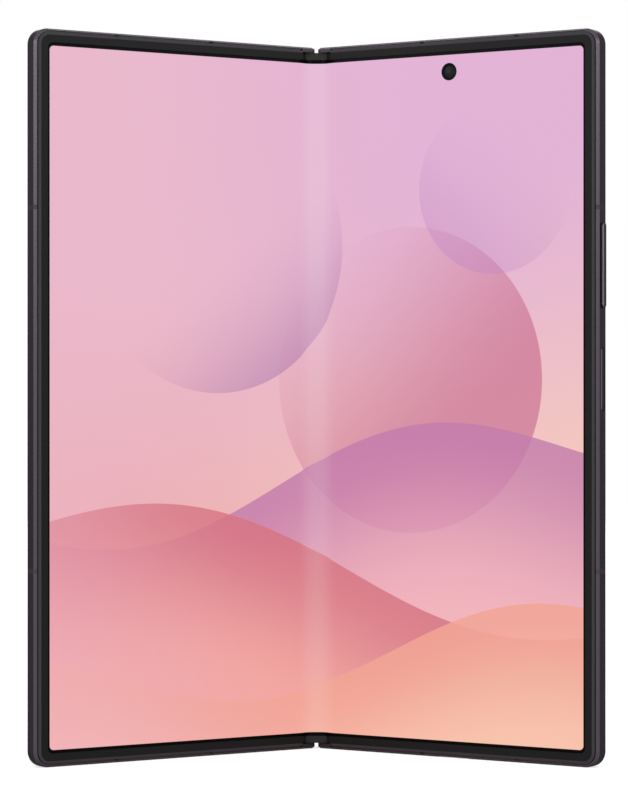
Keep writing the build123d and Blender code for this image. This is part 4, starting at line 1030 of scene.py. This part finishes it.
def make_floor():
    """A wide pale floor that glows a little where it is seen, so that it looks white."""
    bm = bmesh.new()
    bmesh.ops.create_grid(bm, x_segments=1, y_segments=1, size=FLOOR_HALF)
    material = bpy.data.materials.new("pale_floor")
    material.use_nodes = True
    graph = Graph(material.node_tree)
    shader = material.node_tree.nodes["Principled BSDF"]
    here = graph.place()
    tone = graph.mix(graph.noise(here, 3.0), *FLOOR_TONES)
    graph.put(tone, shader.inputs["Base Color"])
    shader.inputs["Roughness"].default_value = 0.9
    shader.inputs["Specular IOR Level"].default_value = 0.0
    shader.inputs["Emission Color"].default_value = WHITE
    glow = graph.math("MULTIPLY", white_to_view(graph, FLOOR_MIRRORED), FLOOR_GLOW)
    graph.put(glow, shader.inputs["Emission Strength"])
    mesh = bpy.data.meshes.new("floor")
    bm.to_mesh(mesh)
    bm.free()
    mesh.materials.append(material)
    floor = bpy.data.objects.new("floor", mesh)
    bpy.context.scene.collection.objects.link(floor)


def soft_lamp(name, place, target, size, power):
    """A rectangular lamp that faces a target."""
    data = bpy.data.lights.new(name, "AREA")
    data.shape = "RECTANGLE"
    data.size, data.size_y = size
    data.energy = power
    lamp = bpy.data.objects.new(name, data)
    bpy.context.scene.collection.objects.link(lamp)
    lamp.location = place
    way = Vector(target) - Vector(place)
    lamp.rotation_euler = way.to_track_quat("-Z", "Y").to_euler()


def set_camera():
    """Level and straight ahead, with the photograph's height, distance and framing."""
    data = bpy.data.cameras.new("camera")
    data.sensor_fit = "VERTICAL"
    data.sensor_height = SENSOR_HEIGHT
    data.lens = LENS_LENGTH
    camera = bpy.data.objects.new("camera", data)
    bpy.context.scene.collection.objects.link(camera)
    camera.location = CAMERA_PLACE
    camera.rotation_euler = (math.radians(90), 0, 0)
    bpy.context.scene.camera = camera


# ---- the scene -------------------------------------------------------------------
bpy.context.scene.view_settings.view_transform = "Standard"
set_camera()
light_world()
make_floor()
for lamp in LAMPS:
    soft_lamp(*lamp)
dress_nodes()
WINDOW = lens_window("lens_window")
SMALL_ELEMENT = coated_element(
    "small_element", INNER_CAMERA, SMALL_ELEMENT_TINTS, SMALL_ELEMENT_RADIUS, 0.03
)
SOUND_MESH_FINISH = sound_mesh("sound_mesh")
CONTACT_GOLD = brushed("contact_gold", linear(212, 172, 96), 0.25)
strip_screen = display_screen("display_screen_strip", True)
fold_strip(1, strip_screen)
fold_strip(-1, strip_screen)

for lens_up, (which, tints) in zip(LENS_UP, ELEMENT_TINTS.items()):
    middle = (LENS_OUT, lens_up)
    glass = coated_element("element_" + which, middle, tints, ELEMENT_RADIUS, 0.15)
    rear_camera(which, lens_up, glass)
inner_camera()
for name, side, middle, up, body in (
    ("bottom_sound_mesh", 1, BOTTOM_SOUND, SOUND_INSET, "right_half"),
    ("right_top_sound_mesh", 1, TOP_SOUND, HEIGHT - SOUND_INSET, "right_half"),
    ("left_top_sound_mesh", -1, TOP_SOUND, HEIGHT - SOUND_INSET, "left_half"),
):
    keep_piece(name, sound_meshes(side, middle, up), SOUND_MESH_FINISH, body)
port_contacts()
